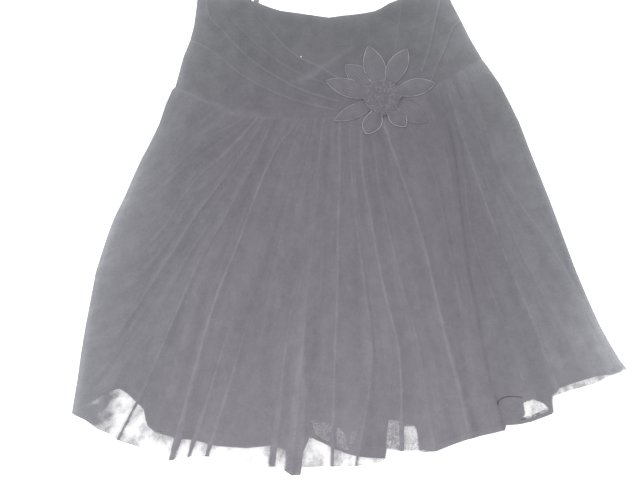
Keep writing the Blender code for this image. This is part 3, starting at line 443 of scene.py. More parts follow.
def distance_to(flat, line):
    """Distance in mm of flat points from a line, and how far along it from 0 to 1.

    For each straight step of the line the nearest share is t = (p - a).s / |s|^2, kept
    between 0 and 1, and the distance is |p - a - t s|.
    """
    steps = np.diff(line, axis=0)
    lengths = length(steps)
    starts = np.cumsum(lengths) - lengths
    best = np.full(flat.shape[:-1], np.inf)
    place = np.zeros(flat.shape[:-1])
    for start, step, step_length, reach in zip(line[:-1], steps, lengths, starts):
        offset = flat - start
        share = np.clip((offset @ step) / step_length ** 2, 0.0, 1.0)
        distance = length(offset - share[..., None] * step)
        closer = distance < best
        best = np.where(closer, distance, best)
        place = np.where(closer, (reach + share * step_length) / lengths.sum(), place)
    return best, place


crease_to_flower, _ = distance_to(FLOWER_FLAT, SOFT_CREASE)
print("the soft crease ends", round(float(crease_to_flower), 1), "mm from the flower's middle")

# %% [markdown]
# Shader maths as plain expressions
#
# A Math node for every plus and times makes a material hard to read. This small class wraps
# a socket, so a finish is written as a formula and the nodes appear by themselves.

# %% Shader expressions


class Term:
    """One value in a material. Sums and products of terms add Math nodes."""

    def __init__(self, finish, socket):
        self.finish = finish
        self.socket = socket

    def __add__(self, other):
        return self.finish.joined("ADD", self, other)

    __radd__ = __add__

    def __sub__(self, other):
        return self.finish.joined("SUBTRACT", self, other)

    def __rsub__(self, other):
        return self.finish.joined("SUBTRACT", other, self)

    def __mul__(self, other):
        return self.finish.joined("MULTIPLY", self, other)

    __rmul__ = __mul__

    def __pow__(self, other):
        return self.finish.joined("POWER", self, other)

    def __rpow__(self, other):
        return self.finish.joined("POWER", other, self)

    def clamped(self, low=0.0, high=1.0):
        """The value kept between two limits: min(max(value, low), high)."""
        return self.finish.joined("MINIMUM", self.finish.joined("MAXIMUM", self, low), high)

    def sine(self):
        """The sine of the value, taken as radians."""
        return self.finish.node("ShaderNodeMath", {"operation": "SINE"}, {0: self})

    def step(self, low, high):
        """0 below low, 1 above high and smooth between."""
        settings = {"interpolation_type": "SMOOTHSTEP"}
        sockets = {0: self, 1: low, 2: high, 3: 0.0, 4: 1.0}
        return self.finish.node("ShaderNodeMapRange", settings, sockets)


# %% A finish and its nodes


class Finish:
    """A material and the few calls that fill it."""

    def __init__(self, name):
        self.material = bpy.data.materials.new(name)
        self.material.use_nodes = True
        self.tree = self.material.node_tree
        self.shader = self.tree.nodes["Principled BSDF"]

    def node(self, kind, settings, sockets, output=0):
        """Add a node, set it up, feed its sockets and give back one of its outputs."""
        made = self.tree.nodes.new(kind)
        for key, value in settings.items():
            setattr(made, key, value)
        for key, value in sockets.items():
            self.feed(made.inputs[key], value)
        return Term(self, made.outputs[output])

    def feed(self, socket, value):
        """Link a term to a socket, or set the socket to a plain value."""
        if isinstance(value, Term):
            self.tree.links.new(value.socket, socket)
        else:
            socket.default_value = value

    def joined(self, operation, first, second):
        """A Math node on two values."""
        return self.node("ShaderNodeMath", {"operation": operation}, {0: first, 1: second})

    def largest(self, first, *others):
        """The largest of some values, two at a time."""
        for other in others:
            first = self.joined("MAXIMUM", first, other)
        return first

    def place(self):
        """The point on the object, in metres."""
        return self.node("ShaderNodeTexCoord", {}, {}, "Object")

    def uv(self):
        """The piece's own UV map."""
        return self.node("ShaderNodeTexCoord", {}, {}, "UV")

    def number(self, label):
        """A named number that the mesh carries for each point."""
        return self.node("ShaderNodeAttribute", {"attribute_name": label}, {}, "Fac")

    def split(self, vector):
        """The first two parts of a vector."""
        made = self.tree.nodes.new("ShaderNodeSeparateXYZ")
        self.feed(made.inputs[0], vector)
        return Term(self, made.outputs[0]), Term(self, made.outputs[1])

    def noise(self, vector, scale, detail=2.0, roughness=0.5):
        """Cloudy noise from 0 to 1, about 0.5 on average."""
        sockets = {"Vector": vector, "Scale": scale, "Detail": detail, "Roughness": roughness}
        return self.node("ShaderNodeTexNoise", {"noise_dimensions": "3D"}, sockets)

    def drawn_noise(self, vector, stretch, scale, detail, roughness):
        """Noise drawn out down the cloth, by less the nearer the stretch is to 1."""
        stretched = self.node("ShaderNodeMapping", {}, {"Vector": vector, "Scale": (1.0, stretch, 1.0)})
        return self.noise(stretched, scale, detail, roughness)

    def colour(self, factor, first, second):
        """first x (1 - factor) + second x factor."""
        sockets = {"Factor": factor, 6: first, 7: second}
        return self.node("ShaderNodeMix", {"data_type": "RGBA"}, sockets, 2)

    def bump(self, height, depth, strength):
        """A normal tilted by the slope of a height, depth metres for a height of 1."""
        sockets = {"Height": height, "Distance": depth, "Strength": strength}
        return self.node("ShaderNodeBump", {}, sockets)

    def set(self, **sockets):
        """Feed sockets of the shader. Underscores stand for spaces."""
        for key, value in sockets.items():
            self.feed(self.shader.inputs[key.replace("_", " ")], value)


# %% The washed-out black
MAUVE = (1.05, 1.0, 1.135, 1.0)
COOL = (0.975, 1.0, 1.075, 1.0)
CLOTH_SHEEN = {"Sheen_Weight": 0.1, "Sheen_Roughness": 0.6}


def washed_black(finish, level, tone):
    """The washed-out black: a tint between mauve and cool, times the level, paleness and tone."""
    tint = finish.colour(finish.number("cool"), MAUVE, COOL)
    strength = tone * finish.number("pale") * level
    return finish.node("ShaderNodeVectorMath", {"operation": "SCALE"}, {0: tint, "Scale": strength})


print("the grey runs from", MAUVE[:3], "to", COOL[:3])

# %% [markdown]
# The sheer cloth
#
# The skirt is a fine black mesh that strong light has washed out to a dull grey. Three
# things show: faint clouds where the layers cling to each other, pressed fold edges that
# catch the light, and light that comes through where no lining lies behind. The opacity
# follows how many layers lie on each other, and a noise drawn out along the folds makes
# thin and thick places.

# %% Sheer cloth
BODY_LEVEL = 0.166
SHEER_LEVEL = BODY_LEVEL * 0.945
WALLS_IN_LAYER = 2
DENSEST_LAYER = 0.93
COVER_CLOSES = 0.97
CREST_LAYERS = 5.0


def sheer_finish(name, opacity, spread, grain):
    """Fine mesh: opacity of one layer, how far it spreads over wide places, and its grain.

    What shines through n layers is (1 - opacity)^n, times 1 - 0.97 where something closes the
    cloth. A ray crosses both walls of the thin shell, so each lets the square root through.
    """
    finish = Finish(name)
    uv, place = finish.uv(), finish.place()
    crest, even = finish.number("crest"), finish.number("even")
    hem_behind, own_hem = finish.number("hem_behind"), finish.number("own_hem")
    holes = finish.noise(place, 330.0, 1.0, 0.5).step(0.30, 0.70)
    weave = finish.noise(place, 430.0, 1.0, 0.5)

    # What closes the cloth: the lining, the back's hem, the side bands and the rolled hem.
    lined = finish.number("lined").step(-1.2, 0.0)
    window = finish.number("windows").step(-1.6, 1.6)
    back = hem_behind.step(-0.6, 0.6)
    rim = back * (1.0 - hem_behind.step(3.0, 4.2)) * (1.0 - window)
    specks = finish.noise(place, 230.0, 2.0, 0.6).step(0.50, 0.70)
    band = finish.number("band") * back * (1.0 - 0.06 * specks)
    closed = 1.0 - finish.number("open") * (0.6 + 0.8 * holes) * window
    rolled = finish.number("rolled") * (1.0 - own_hem.step(4.4, 5.4))
    cover = finish.largest(lined, rim, band, back * closed * finish.number("inner"), rolled)

    # How light the grey is: clouds, bands and streaks down the cloth, then its edges.
    bands = finish.drawn_noise(uv, 0.10, 54.0, 2.0, 0.5)
    streaks = finish.drawn_noise(uv, 0.26, 110.0, 3.0, 0.6)
    highlight_breakup = finish.drawn_noise(uv, 0.4, 110.0, 2.0, 0.6).step(0.28, 0.62)
    clouds = finish.noise(place, 80.0, 3.0, 0.65)
    stitches = own_hem.step(8.2, 8.9) * (1.0 - own_hem.step(9.1, 9.8))
    flap = finish.number("flap")
    flap_edge = flap.step(-1.3, -0.3) * (1.0 - flap.step(0.3, 1.3))
    tone = 1.0 + (0.38 * (bands - 0.5) + 0.15 * (streaks - 0.5)) * even
    tone = tone + 0.30 * (clouds - 0.5) * (0.5 + 0.5 * even) + 0.22 * (weave - 0.5)
    # A painted highlight on the pressed fold edges, broken into stretches by noise, and a painted line of
    # shade along a fold; the hem's stitches are a little darker.
    tone = tone + 0.10 * crest * highlight_breakup - 0.10 * finish.number("valley") - 0.07 * stitches
    # A painted highlight round the flap's edge, and a painted shadow along its upper edge where it lifts off.
    tone = tone + flap_edge * (0.10 - 0.60 * finish.number("flap_top_shadow"))

    # How much shines through: wispy places, holes of the mesh, and the layers.
    wisps = finish.drawn_noise(uv, 0.50, 75.0, 2.0, 0.55).step(0.40, 0.66)
    one_layer = opacity * (1.0 - spread + 2.3 * spread * wisps) * (1.0 - grain + 2.0 * grain * holes)
    layers = (finish.number("layers") + CREST_LAYERS * crest).clamped(0.05, 9.0)
    layered = (1.0 - one_layer.clamped(0.0, DENSEST_LAYER)) ** layers
    through = layered * (1.0 - COVER_CLOSES * cover)
    alpha = (1.0 - through ** (1.0 / WALLS_IN_LAYER)).clamped()
    finish.set(Base_Color=washed_black(finish, SHEER_LEVEL, tone), Alpha=alpha,
               Roughness=0.9, Specular_IOR_Level=0.12, **CLOTH_SHEEN,
               Normal=finish.bump(weave * 0.5 + streaks * even, 0.0004, 0.3))
    print(name, "has", len(finish.tree.nodes), "nodes")
    return finish.material


sheer_front = sheer_finish("sheer_front", 0.44, 0.38, 0.10)
sheer_back = sheer_finish("sheer_back", 0.50, 0.25, 0.40)

# %% [markdown]
# The lining, the yoke, the flower and the ribbon
#
# The lining is a plain opaque weave and shows only as the dark body behind the mesh. The
# yoke is a denser, cooler black whose pin tucks catch a thin line of light. The petals are
# stitched with lines that run from root to tip, so their pattern follows the petal's own
# UV map: v runs along the petal and u across it.

# %% Plain cloth


def plain_finish(name, level, crest_gain=0.0):
    """Plain weave: 1 plus clouds, weave and grain, each noise less its mean of 0.5."""
    finish = Finish(name)
    place = finish.place()
    clouds = finish.noise(place, 42.0, 4.0, 0.65)
    weave = finish.noise(place, 700.0, 2.0, 0.5)
    grain = finish.noise(place, 430.0, 1.0, 0.5)
    tone = 1.0 + 0.62 * (clouds - 0.5) + 0.10 * (weave - 0.5) + 0.24 * (grain - 0.5)
    height = weave
    if crest_gain:
        crest = finish.number("crest")
        # The tucks' crests get a painted highlight.
        tone = tone + crest_gain * crest
        height = weave + crest
    finish.set(Base_Color=washed_black(finish, level, tone), Roughness=0.88,
               Specular_IOR_Level=0.15, **CLOTH_SHEEN, Normal=finish.bump(height, 0.0003, 0.4))
    return finish.material


YOKE_LEVEL = BODY_LEVEL * 0.76
# Strength of the painted highlight on the yoke's tucks.
TUCK_GAIN = 0.26
lining_cloth = plain_finish("lining_cloth", BODY_LEVEL)
yoke_cloth = plain_finish("yoke_cloth", YOKE_LEVEL, TUCK_GAIN)
yoke_back_cloth = plain_finish("yoke_back_cloth", YOKE_LEVEL)
ribbon_satin = plain_finish("ribbon_satin", BODY_LEVEL * 0.9)
print("plain cloths:", lining_cloth.name, yoke_cloth.name, yoke_back_cloth.name, ribbon_satin.name)

# %% Quilted petal cloth
QUILT_LINES = 7


def petal_finish(name, level):
    """Quilted cloth: stitched lines where sin(pi x lines x u) squared is near 1, less at the ends."""
    finish = Finish(name)
    across, along = finish.split(finish.uv())
    place = finish.place()
    weave = finish.noise(place, 800.0, 2.0, 0.5)
    clouds = finish.noise(place, 90.0, 2.0, 0.5)
    wave = (across * (math.pi * QUILT_LINES)).sine()
    ends = along.step(0.10, 0.2) * (1.0 - along.step(0.86, 0.97))
    line = (wave * wave).step(0.80, 1.0) * ends * finish.number("veins")
    tone = 1.0 + 0.4 * (clouds - 0.5) + 0.12 * (weave - 0.5) + 0.30 * line
    finish.set(Base_Color=washed_black(finish, level, tone), Roughness=0.85,
               Specular_IOR_Level=0.15, **CLOTH_SHEEN,
               Normal=finish.bump(weave * 0.3 + line, 0.0004, 0.6))
    return finish.material


petal_cloth = petal_finish("petal_cloth", BODY_LEVEL * 0.83)
print(petal_cloth.name, "has", QUILT_LINES, "lines across")

# %% Cord and thread


def cord_finish(name, level, gain=0.0, specks=0.0):
    """Thread or cord, with a painted highlight of strength gain times its bright number, broken into
    stretches by noise, and light specks.
    """
    finish = Finish(name)
    place = finish.place()
    twist = finish.noise(place, 900.0, 2.0, 0.5)
    tone = 0.85 + 0.3 * twist
    if gain:
        highlight_breakup = finish.noise(place, 45.0, 2.0, 0.6).step(0.34, 0.60)
        # A painted highlight along the cord, in stretches.
        tone = tone * (1.0 + gain * finish.number("bright") * (0.45 + 0.55 * highlight_breakup))
    if specks:
        tone = tone + specks * finish.noise(place, 300.0, 2.0, 0.6).step(0.50, 0.62)
    finish.set(Base_Color=washed_black(finish, level, tone), Roughness=0.7,
               Sheen_Weight=0.1, Specular_IOR_Level=0.2, Normal=finish.bump(twist, 0.0002, 0.5))
    return finish.material


knot_thread = cord_finish("knot_thread", BODY_LEVEL * 0.82, specks=0.28)
# The petals' edge cords get a painted highlight, set for each petal by its bright number.
edge_cord = cord_finish("edge_cord", BODY_LEVEL * 0.95, gain=0.85)
seam_thread = cord_finish("seam_thread", BODY_LEVEL * 1.05)
print("threads:", knot_thread.name, edge_cord.name, seam_thread.name)

# %% [markdown]
# Heights of the front
#
# The front rests on two linings and the back, and falls to the table at its sides and past
# the lining's hem. These are the heights that the CAD solids have, so the dressed skirt and
# the part agree.

# %% Height functions
SEAM_GAP = 0.3
SHEER_WALL = 1.4
YOKE_WALL = 1.5
# Heights of undersides in mm: over the linings, at the sides, at the hem and at the waist.
FRONT_Z = 4.2
SIDE_Z = 1.5
HEM_Z = 1.6
WAIST_Z = 2.8
SIDE_FALL = 9.0
HEM_FALL = 16.0
HEM_REST = 5.0
BILLOW = 0.9
PRESSED_FLAT = 34.0
PRESSED_FADE = 62.0
SUPPORT_ANGLES = np.linspace(-24.0, 24.0, 241)
near_angles = SUPPORT_ANGLES[:, None] + np.linspace(-1.0, 1.0, 13)
widest = np.pad(radius_of(LINING_HEM, near_angles).max(axis=1), 3, mode="edge")
SUPPORT_RADIUS = np.convolve(widest, np.ones(7) / 7, mode="valid")


def side_distance(angle, radius, left, right):
    """Distance in mm inside the nearer side edge, 0 outside."""
    return np.maximum(np.minimum(*from_sides(angle, radius, left, right)), 0.0)


def pressed(flat):
    """0 under the flower and 1 well away from it, by a smoothstep of the distance."""
    return smoothstep((length(flat - FLOWER_FLAT) - PRESSED_FLAT) / PRESSED_FADE)


def skirt_height(angle, radius, folds):
    """Underside of the sheer front: its rest on the linings, plus a slow billow, plus folds.

    All of it falls to the height of the hem at the sides, and the rest falls past the lining.
    """
    flat = on_chart(angle, radius)
    over = radius - np.interp(angle, SUPPORT_ANGLES, SUPPORT_RADIUS)
    rest = FRONT_Z - (FRONT_Z - HEM_Z) * smoothstep((over - HEM_REST) / HEM_FALL)
    waves = np.sin(angle * 2.35 + 0.8) * np.cos(angle * 0.83 - radius / 130.0)
    billow = BILLOW * smoothstep((radius - 640.0) / 260.0) * (1.0 + waves)
    folds = folds * (0.25 + 0.75 * pressed(flat))
    at_side = smoothstep(side_distance(angle, radius, LEFT_SIDE, RIGHT_SIDE) / SIDE_FALL)
    return HEM_Z + (rest - HEM_Z + billow + folds) * at_side


print("the lining holds the front up to a radius of", np.round(SUPPORT_RADIUS.max()), "mm")

# %% [markdown]
# Laying the grid along the folds
#
# A square grid would cut across the creases and turn their sharp edges into steps. So the
# columns of this grid follow the fold lines: each fold is one column, and the columns
# between two folds blend from one line to the next, packed closer near each crease. On the
# left the columns run out to the side seam and the rest end on the hem.

# %% Guide lines
ROWS = 120
ROW_PLACES = np.interp(np.linspace(0.0, 1.0, ROWS), (0.0, 0.56, 1.0), (0.0, 0.80, 1.0))


def guide_lines():
    """Every guide's angle and radius at even steps of its length, with its kinks eased."""
    lines = []
    for *_, path in FOLDS.values():
        flat = along_line(chart_line(path), ROW_PLACES)
        if 0 < len(lines) < len(FOLDS) - 1:
            flat = smoothed(flat, 7)
        lines.append(np.stack(chart_place(flat), axis=-1))
    return np.array(lines)


GUIDES = guide_lines()
FLAT_GUIDES = on_chart(GUIDES[..., 0], GUIDES[..., 1])
GUIDE_WIDTHS = length(np.diff(FLAT_GUIDES, axis=0)).mean(axis=1) * MM
print("guides and rows:", GUIDES.shape[:2])

# %% Fold-following grid
GAP_COLUMNS = 11
EXTRA_FIRST_COLUMNS = 14


def fold_grid(hem, seam_shift):
    """Angle and radius of a grid whose columns follow the folds, with each column's gap.

    A column is left + (right - left) t between two guides, with t = (1 - cos(pi s)) / 2 for
    even s. Then its top is moved to the seam, and its foot to the hem or the side edge.
    """
    gaps, shares = [], []
    for gap in range(len(GUIDES) - 1):
        count = GAP_COLUMNS + (EXTRA_FIRST_COLUMNS if gap == 0 else 0)
        gaps.extend([gap] * count)
        shares.extend((1.0 - np.cos(np.linspace(0.0, np.pi, count + 1)[:-1])) / 2.0)
    gaps, shares = np.array(gaps + [len(GUIDES) - 2]), np.array(shares + [1.0])
    left, right = GUIDES[gaps], GUIDES[gaps + 1]
    blend = left + (right - left) * shares[:, None, None]
    angle, radius = blend[..., 0].T.copy(), blend[..., 1].T.copy()
    row = ROW_PLACES[:, None]
    radius += (1.0 - row) ** 6 * (radius_of(YOKE_SEAM, angle[0]) + seam_shift - radius[0])
    on_side = gaps < ENDS_ON_SIDE - 1
    radius += row ** 8 * np.where(on_side, 0.0, radius_of(hem, angle[-1]) - radius[-1])
    angle += row ** 4 * np.where(on_side, angle_of(LEFT_SIDE, radius[-1]) - angle[-1], 0.0)
    low, high = angle_of(LEFT_SIDE, radius), angle_of(RIGHT_SIDE, radius)
    starts = np.cumsum(GUIDE_WIDTHS) - GUIDE_WIDTHS
    across = starts[gaps] + shares * GUIDE_WIDTHS[gaps] + 0.0 * row
    return np.clip(angle, low, high), radius, gaps, across, row


front_angle, front_radius, front_gaps, front_across, front_row = fold_grid(FRONT_HEM, -SEAM_GAP)
print("front grid", front_angle.shape)

# %% [markdown]
# From fold lines to heights and shades
#
# A gather is a ridge that is narrow at the seam and widens down the skirt. A point of the
# grid lies between two folds, so it only has to look at those two: how far off they are, and
# how high and wide in its row. The same distances place the painted highlight on the pressed
# edge of a fold, the painted dark line of shade beside a step, and the strip where the cloth
# lies three deep.

# %% Rise, lines and layers of the folds
FOLD_SHARPNESS = 1.35
CREST_REACH = 1.25
VALLEY_REACH = 2.3


def fold_side(values, guide, column, down):
    """A fold's width on one side, from its top to its foot."""
    top, foot = values[guide][:, column], values[guide][:, column + 1]
    return top + (foot - top) * down[:, None]


def fold_fields(angle, radius, gaps, row, gain):
    """Rise of the folds in mm, lines of painted highlight and painted shade along them, and layers of cloth.

    A fold at distance d rises by gain x rise x (1 - d / width)^1.35, and the two folds of a
    gap are joined smoothly as the cube root of the sum of their cubes.
    """
    rises, widths, lights, strips, _ = zip(*FOLDS.values())
    widths, lights, strips = np.array(widths, dtype=float), np.array(lights), np.array(strips)
    flat, down = on_chart(angle, radius), row[:, 0]
    rises = np.stack([np.interp(down, np.linspace(0, 1, 5), rise) for rise in rises], axis=-1)
    span = length(FLAT_GUIDES[gaps] - FLAT_GUIDES[gaps + 1]).T
    fading = (0.5 + 0.5 * smoothstep(down / 0.06)) * (1.0 - 0.5 * smoothstep((down - 0.5) / 0.4))
    starts = smoothstep((down - 0.08) / 0.06)[:, None]
    pressed_foot = smoothstep((down - 0.55) / 0.4)[:, None]
    total, crest, valley = (np.zeros(angle.shape) for _ in range(3))
    layers = np.ones(angle.shape)
    for offset, column in ((0, 2), (1, 0)):
        guide = gaps + offset
        distance = length(flat - FLAT_GUIDES[guide].transpose(1, 0, 2))
        width = np.minimum(fold_side(widths, guide, column, down), np.maximum(1.6, 0.5 * span))
        rise = rises[:, guide]
        total += (rise * gain * np.clip(1.0 - distance / width, 0.0, 1.0) ** FOLD_SHARPNESS) ** 3
        held = smoothstep(rise / 0.8) * fading[:, None]
        # crest says where a pressed edge gets its painted highlight, and valley where a painted line of shade
        # goes.
        crest = np.maximum(crest, lights[guide] * held * soft_line(distance, CREST_REACH))
        valley = np.maximum(valley, -lights[guide] * starts * soft_line(distance, VALLEY_REACH))
        strip = strips[guide] * pressed_foot
        stacked = smoothstep((strip - distance) / 0.8 + 0.5) * (strip > 0.0)
        layers = np.maximum(layers, 1.0 + 7.0 * stacked)
    return np.cbrt(total), crest, valley, layers


FRONT_GAIN = 0.37
front_folds = fold_fields(front_angle, front_radius, front_gaps, front_row, FRONT_GAIN)
print("highest fold of the front", round(float(front_folds[0].max()), 2), "mm")

# %% [markdown]
# What lies behind the mesh
#
# A mesh over a lining looks solid, and past the lining it looks thin. Real layers behind each
# other would do this by themselves, but the photo shows sharper and more irregular edges than
# four stacked sheets can give. So each point of the front carries its distance to the edges
# behind it: positive inside and negative outside. The material turns a distance into a sharp
# or a soft edge, however wide the columns of the mesh are there.

# %% Distances to hems and outlines
LINING_INSET = table("radius inset", [
    (580, 18), (610, 12), (700, 13), (800, 14), (900, 17), (960, 22), (1000, 26)])
LINING_RIGHT_INSET = 12.0


def hem_layers(angle, radius, hem, depth, extra):
    """More layers within a depth in mm of the hem's edge."""
    inside = radius_of(hem, angle) - radius
    return extra * smoothstep((depth - inside) / 1.2)


def inside_hem(angle, radius, hem):
    """Distance in mm inside a hem, negative past it."""
    distance, _ = distance_to(on_chart(angle, radius), on_chart(hem["angle"], hem["radius"]))
    return np.where(radius < radius_of(hem, angle), distance, -distance)


def inside_outline(flat, places):
    """Distance in mm inside a closed outline, negative outside.

    A point is inside if a ray to its right crosses the outline an odd number of times.
    """
    outline = chart_line(places)
    distance, _ = distance_to(flat, outline)
    crossings = np.zeros(distance.shape, dtype=int)
    x, y = flat[..., 0], flat[..., 1]
    for (start_x, start_y), (end_x, end_y) in zip(outline[:-1], outline[1:]):
        spans = (start_y > y) != (end_y > y)
        crossing = start_x + (y - start_y) * (end_x - start_x) / (end_y - start_y + 1e-9)
        crossings += spans & (x < crossing)
    return np.where(crossings % 2 == 1, distance, -distance)


front_flat = on_chart(front_angle, front_radius)
print("the lining ends up to", LINING_INSET["inset"].max(), "mm inside the left side")

# %% Windows and bands
WINDOWS = [
    [(-3.25, 987), (-2.2, 992), (-1.45, 997), (-1.45, 1024), (-2.3, 1020), (-2.85, 1008), (-3.25, 987)],
    [(-1.25, 999), (-0.70, 1006), (-0.40, 1020), (-0.35, 1034), (-0.90, 1036), (-1.25, 1034), (-1.25, 999)],
    [(-0.15, 1005), (0.55, 1007), (0.05, 1024), (-0.25, 1024), (-0.15, 1005)],
    [(2.9, 993), (3.75, 1000), (3.45, 1050), (2.40, 1046), (2.5, 1006), (2.9, 992)],
    [(3.95, 1008), (4.85, 1010), (4.8, 1054), (3.6, 1050), (3.95, 1008)],
    [(13.2, 1012), (13.95, 1012), (14.55, 1020), (15.05, 1036), (14.0, 1041), (13.25, 1039), (12.65, 1032),
     (13.1, 1028), (13.15, 1020), (13.2, 1012)]]
OPENNESS = table("angle open", [
    (-0.3, 0.37), (-0.2, 0.29), (0.8, 0.29), (2.0, 0.53), (3.8, 0.53), (3.9, 1.15), (5.5, 1.15), (12.0, 2.2)])


def what_lies_behind(angle, radius):
    """Distances in mm inside the lining, the hems and the windows, and shares of the bands."""
    left, right = from_sides(angle, radius, LEFT_SIDE, RIGHT_SIDE)
    from_lining = left - np.interp(radius, LINING_INSET["radius"], LINING_INSET["inset"])
    lining_sides = np.minimum(from_lining, right - LINING_RIGHT_INSET)
    past_left = smoothstep((left - np.interp(radius, (880.0, 950.0), (24.0, 52.0))) / 12.0)
    past_right = smoothstep((right - LINING_RIGHT_INSET) / 8.0)
    dense = np.interp(radius, (760.0, 900.0), (0.99, 0.975))
    flat = on_chart(angle, radius)
    return {"lined": np.minimum(lining_sides, inside_hem(angle, radius, LINING_HEM)),
            "hem_behind": inside_hem(angle, radius, BACK_HEM),
            "own_hem": inside_hem(angle, radius, FRONT_HEM),
            "band": dense * np.maximum(1.0 - past_left, 1.0 - past_right),
            "inner": past_left * past_right,
            "rolled": smoothstep((angle - 5.1) / 0.2) * (1.0 - smoothstep((angle - 15.1) / 0.3)),
            "even": smoothstep((left - 8.0) / 40.0),
            "windows": np.maximum.reduce([inside_outline(flat, outline) for outline in WINDOWS]),
            "open": np.interp(angle, OPENNESS["angle"], OPENNESS["open"])}


behind_front = what_lies_behind(front_angle, front_radius)
print(int((behind_front["windows"] > 0.0).sum()), "points of the front lie in", len(WINDOWS), "windows")

# %% [markdown]
# The sheer front
#
# The grid gets its heights from the folds. A small turned-up flap near the right of the hem
# is one more short ridge, with a painted highlight round its edge and a painted shadow along
# its upper edge. The hem itself is rolled and sewn, so the last millimetres count as more
# layers and look darker against the light. The mesh is finer in some places than in others,
# so a short table says how many layers each part of the hem counts as.

# %% Sheer front piece
FLAP = [(11.28, 1006), (11.31, 1000), (11.83, 997), (12.44, 998), (13.22, 1004), (13.30, 1012),
        (12.98, 1024), (11.65, 1018), (11.28, 1006)]
FLAP_RISE = 1.4
FRONT_LAYERS = table("angle layers", [
    (-21.0, 3.4), (-18.7, 3.4), (-18.2, 0.8), (-16.9, 0.9), (-13.6, 0.9), (-12.0, 0.8), (-10.6, 0.8),
    (-10.0, 0.45), (-6.6, 0.45), (-6.2, 1.1), (-5.4, 1.1), (-3.9, 1.15), (0.0, 1.0), (2.3, 0.8),
    (3.6, 0.9), (3.9, 0.5), (4.9, 0.5), (5.1, 1.0), (12.6, 1.0), (13.0, 0.4), (15.0, 0.4), (15.5, 1.5)])
SHEER_SHELL = 0.35


def lay_sheer_front():
    """Height = the skirt's underside for these folds plus the wall, a little higher at the seam."""
    angle, radius = front_angle, front_radius
    rise, crest, valley, layers = front_folds
    flap = inside_outline(front_flat, FLAP)
    rise = np.maximum(rise, FLAP_RISE * smoothstep((flap + 1.5) / 3.0) * (radius < 1030.0))
    below_seam = radius - radius_of(YOKE_SEAM, angle)
    seam_step = 0.10 * (1.0 - smoothstep(below_seam / 6.0)) - 0.04 * (below_seam < 0.0)
    height = skirt_height(angle, radius, rise) + SHEER_WALL + seam_step
    layers = layers - 1.0 + np.interp(angle, FRONT_LAYERS["angle"], FRONT_LAYERS["layers"])
    layers = layers + hem_layers(angle, radius, FRONT_HEM, 1.6, 0.6) * (angle < 15.3)
    points = placed(front_flat, height)
    uv = np.stack([front_across, radius * MM], axis=-1)
    # flap_top_shadow is 1 above a radius of 1003 mm, where the flap's outline gets a painted shadow.
    numbers = {"crest": crest, "valley": valley, "layers": layers, "flap": flap,
               "flap_top_shadow": 1.0 - smoothstep((radius - 1003.0) / 5.0), **behind_front}
    piece = mesh_piece("sheer_front", points, grid_faces(*angle.shape), sheer_front, uv, numbers, SHEER_SHELL)
    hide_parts("front_skirt")


lay_sheer_front()

# %% [markdown]
# The sheer back
#
# The back lies under everything with its right side down. It has the same kind of folds,
# pressed flat by the weight of the skirt, so they are only shallow troughs in its underside.
# It needs no windows or bands, so the numbers that steer them are set to a place far outside
# every edge, or to nothing.

# %% Sheer back piece
BACK_GAIN = 0.11
BACK_HIGHEST = 0.58
FAR_OUTSIDE = -9.0
BACK_LAYERS = table("angle layers", [
    (-3.4, 5.0), (-3.2, 0.3), (0.7, 0.3), (0.9, 5.0), (2.3, 5.0), (2.4, 0.3), (5.0, 0.3), (5.1, 3.0),
    (12.8, 3.0), (13.0, 0.15), (15.0, 0.15), (15.2, 2.0)])


def lay_sheer_back():
    """Height = 0.4 mm plus the low folds, cut off where they would touch the lining."""
    angle, radius, gaps, across, row = fold_grid(BACK_HEM, SEAM_GAP / 2)
    rise, crest, _, _ = fold_fields(angle, radius, gaps, row, BACK_GAIN)
    turned = 1.5 - 1.2 * smoothstep((angle - 2.3) / 0.2) * smoothstep((5.1 - angle) / 0.2)
    layers = np.interp(angle, BACK_LAYERS["angle"], BACK_LAYERS["layers"])
    layers = layers + hem_layers(angle, radius, BACK_HEM, 4.5, turned)
    points = placed(on_chart(angle, radius), 0.4 + np.minimum(rise, BACK_HIGHEST))
    uv = np.stack([across + 3.0, radius * MM], axis=-1)
    numbers = {key: np.zeros(angle.shape) for key in ("band", "windows", "inner", "open", "valley", "rolled")}
    numbers.update({key: np.full(angle.shape, FAR_OUTSIDE) for key in ("lined", "hem_behind", "flap")})
    # The back's pressed edges get a weaker painted highlight.
    numbers.update({"crest": crest * 0.3, "layers": layers, "even": np.ones(angle.shape),
                    "own_hem": inside_hem(angle, radius, BACK_HEM)})
    piece = mesh_piece("sheer_back", points, grid_faces(*angle.shape), sheer_back, uv, numbers, SHEER_SHELL)
    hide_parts("back_skirt")


lay_sheer_back()

# %% [markdown]
# The linings
#
# Front and back linings are cut alike, plain and a little narrower than the skirt, with a
# turned and sewn hem. The front one ends a little higher, as it rides up over the other.

# %% Linings
LINING_BELOW_SEAM = 2.0
LINING_LIFT = 0.62
LINING_TURN = 18.0
TURN_RISE = 0.15
RIPPLE = 0.096
LINING_WALL = 0.4


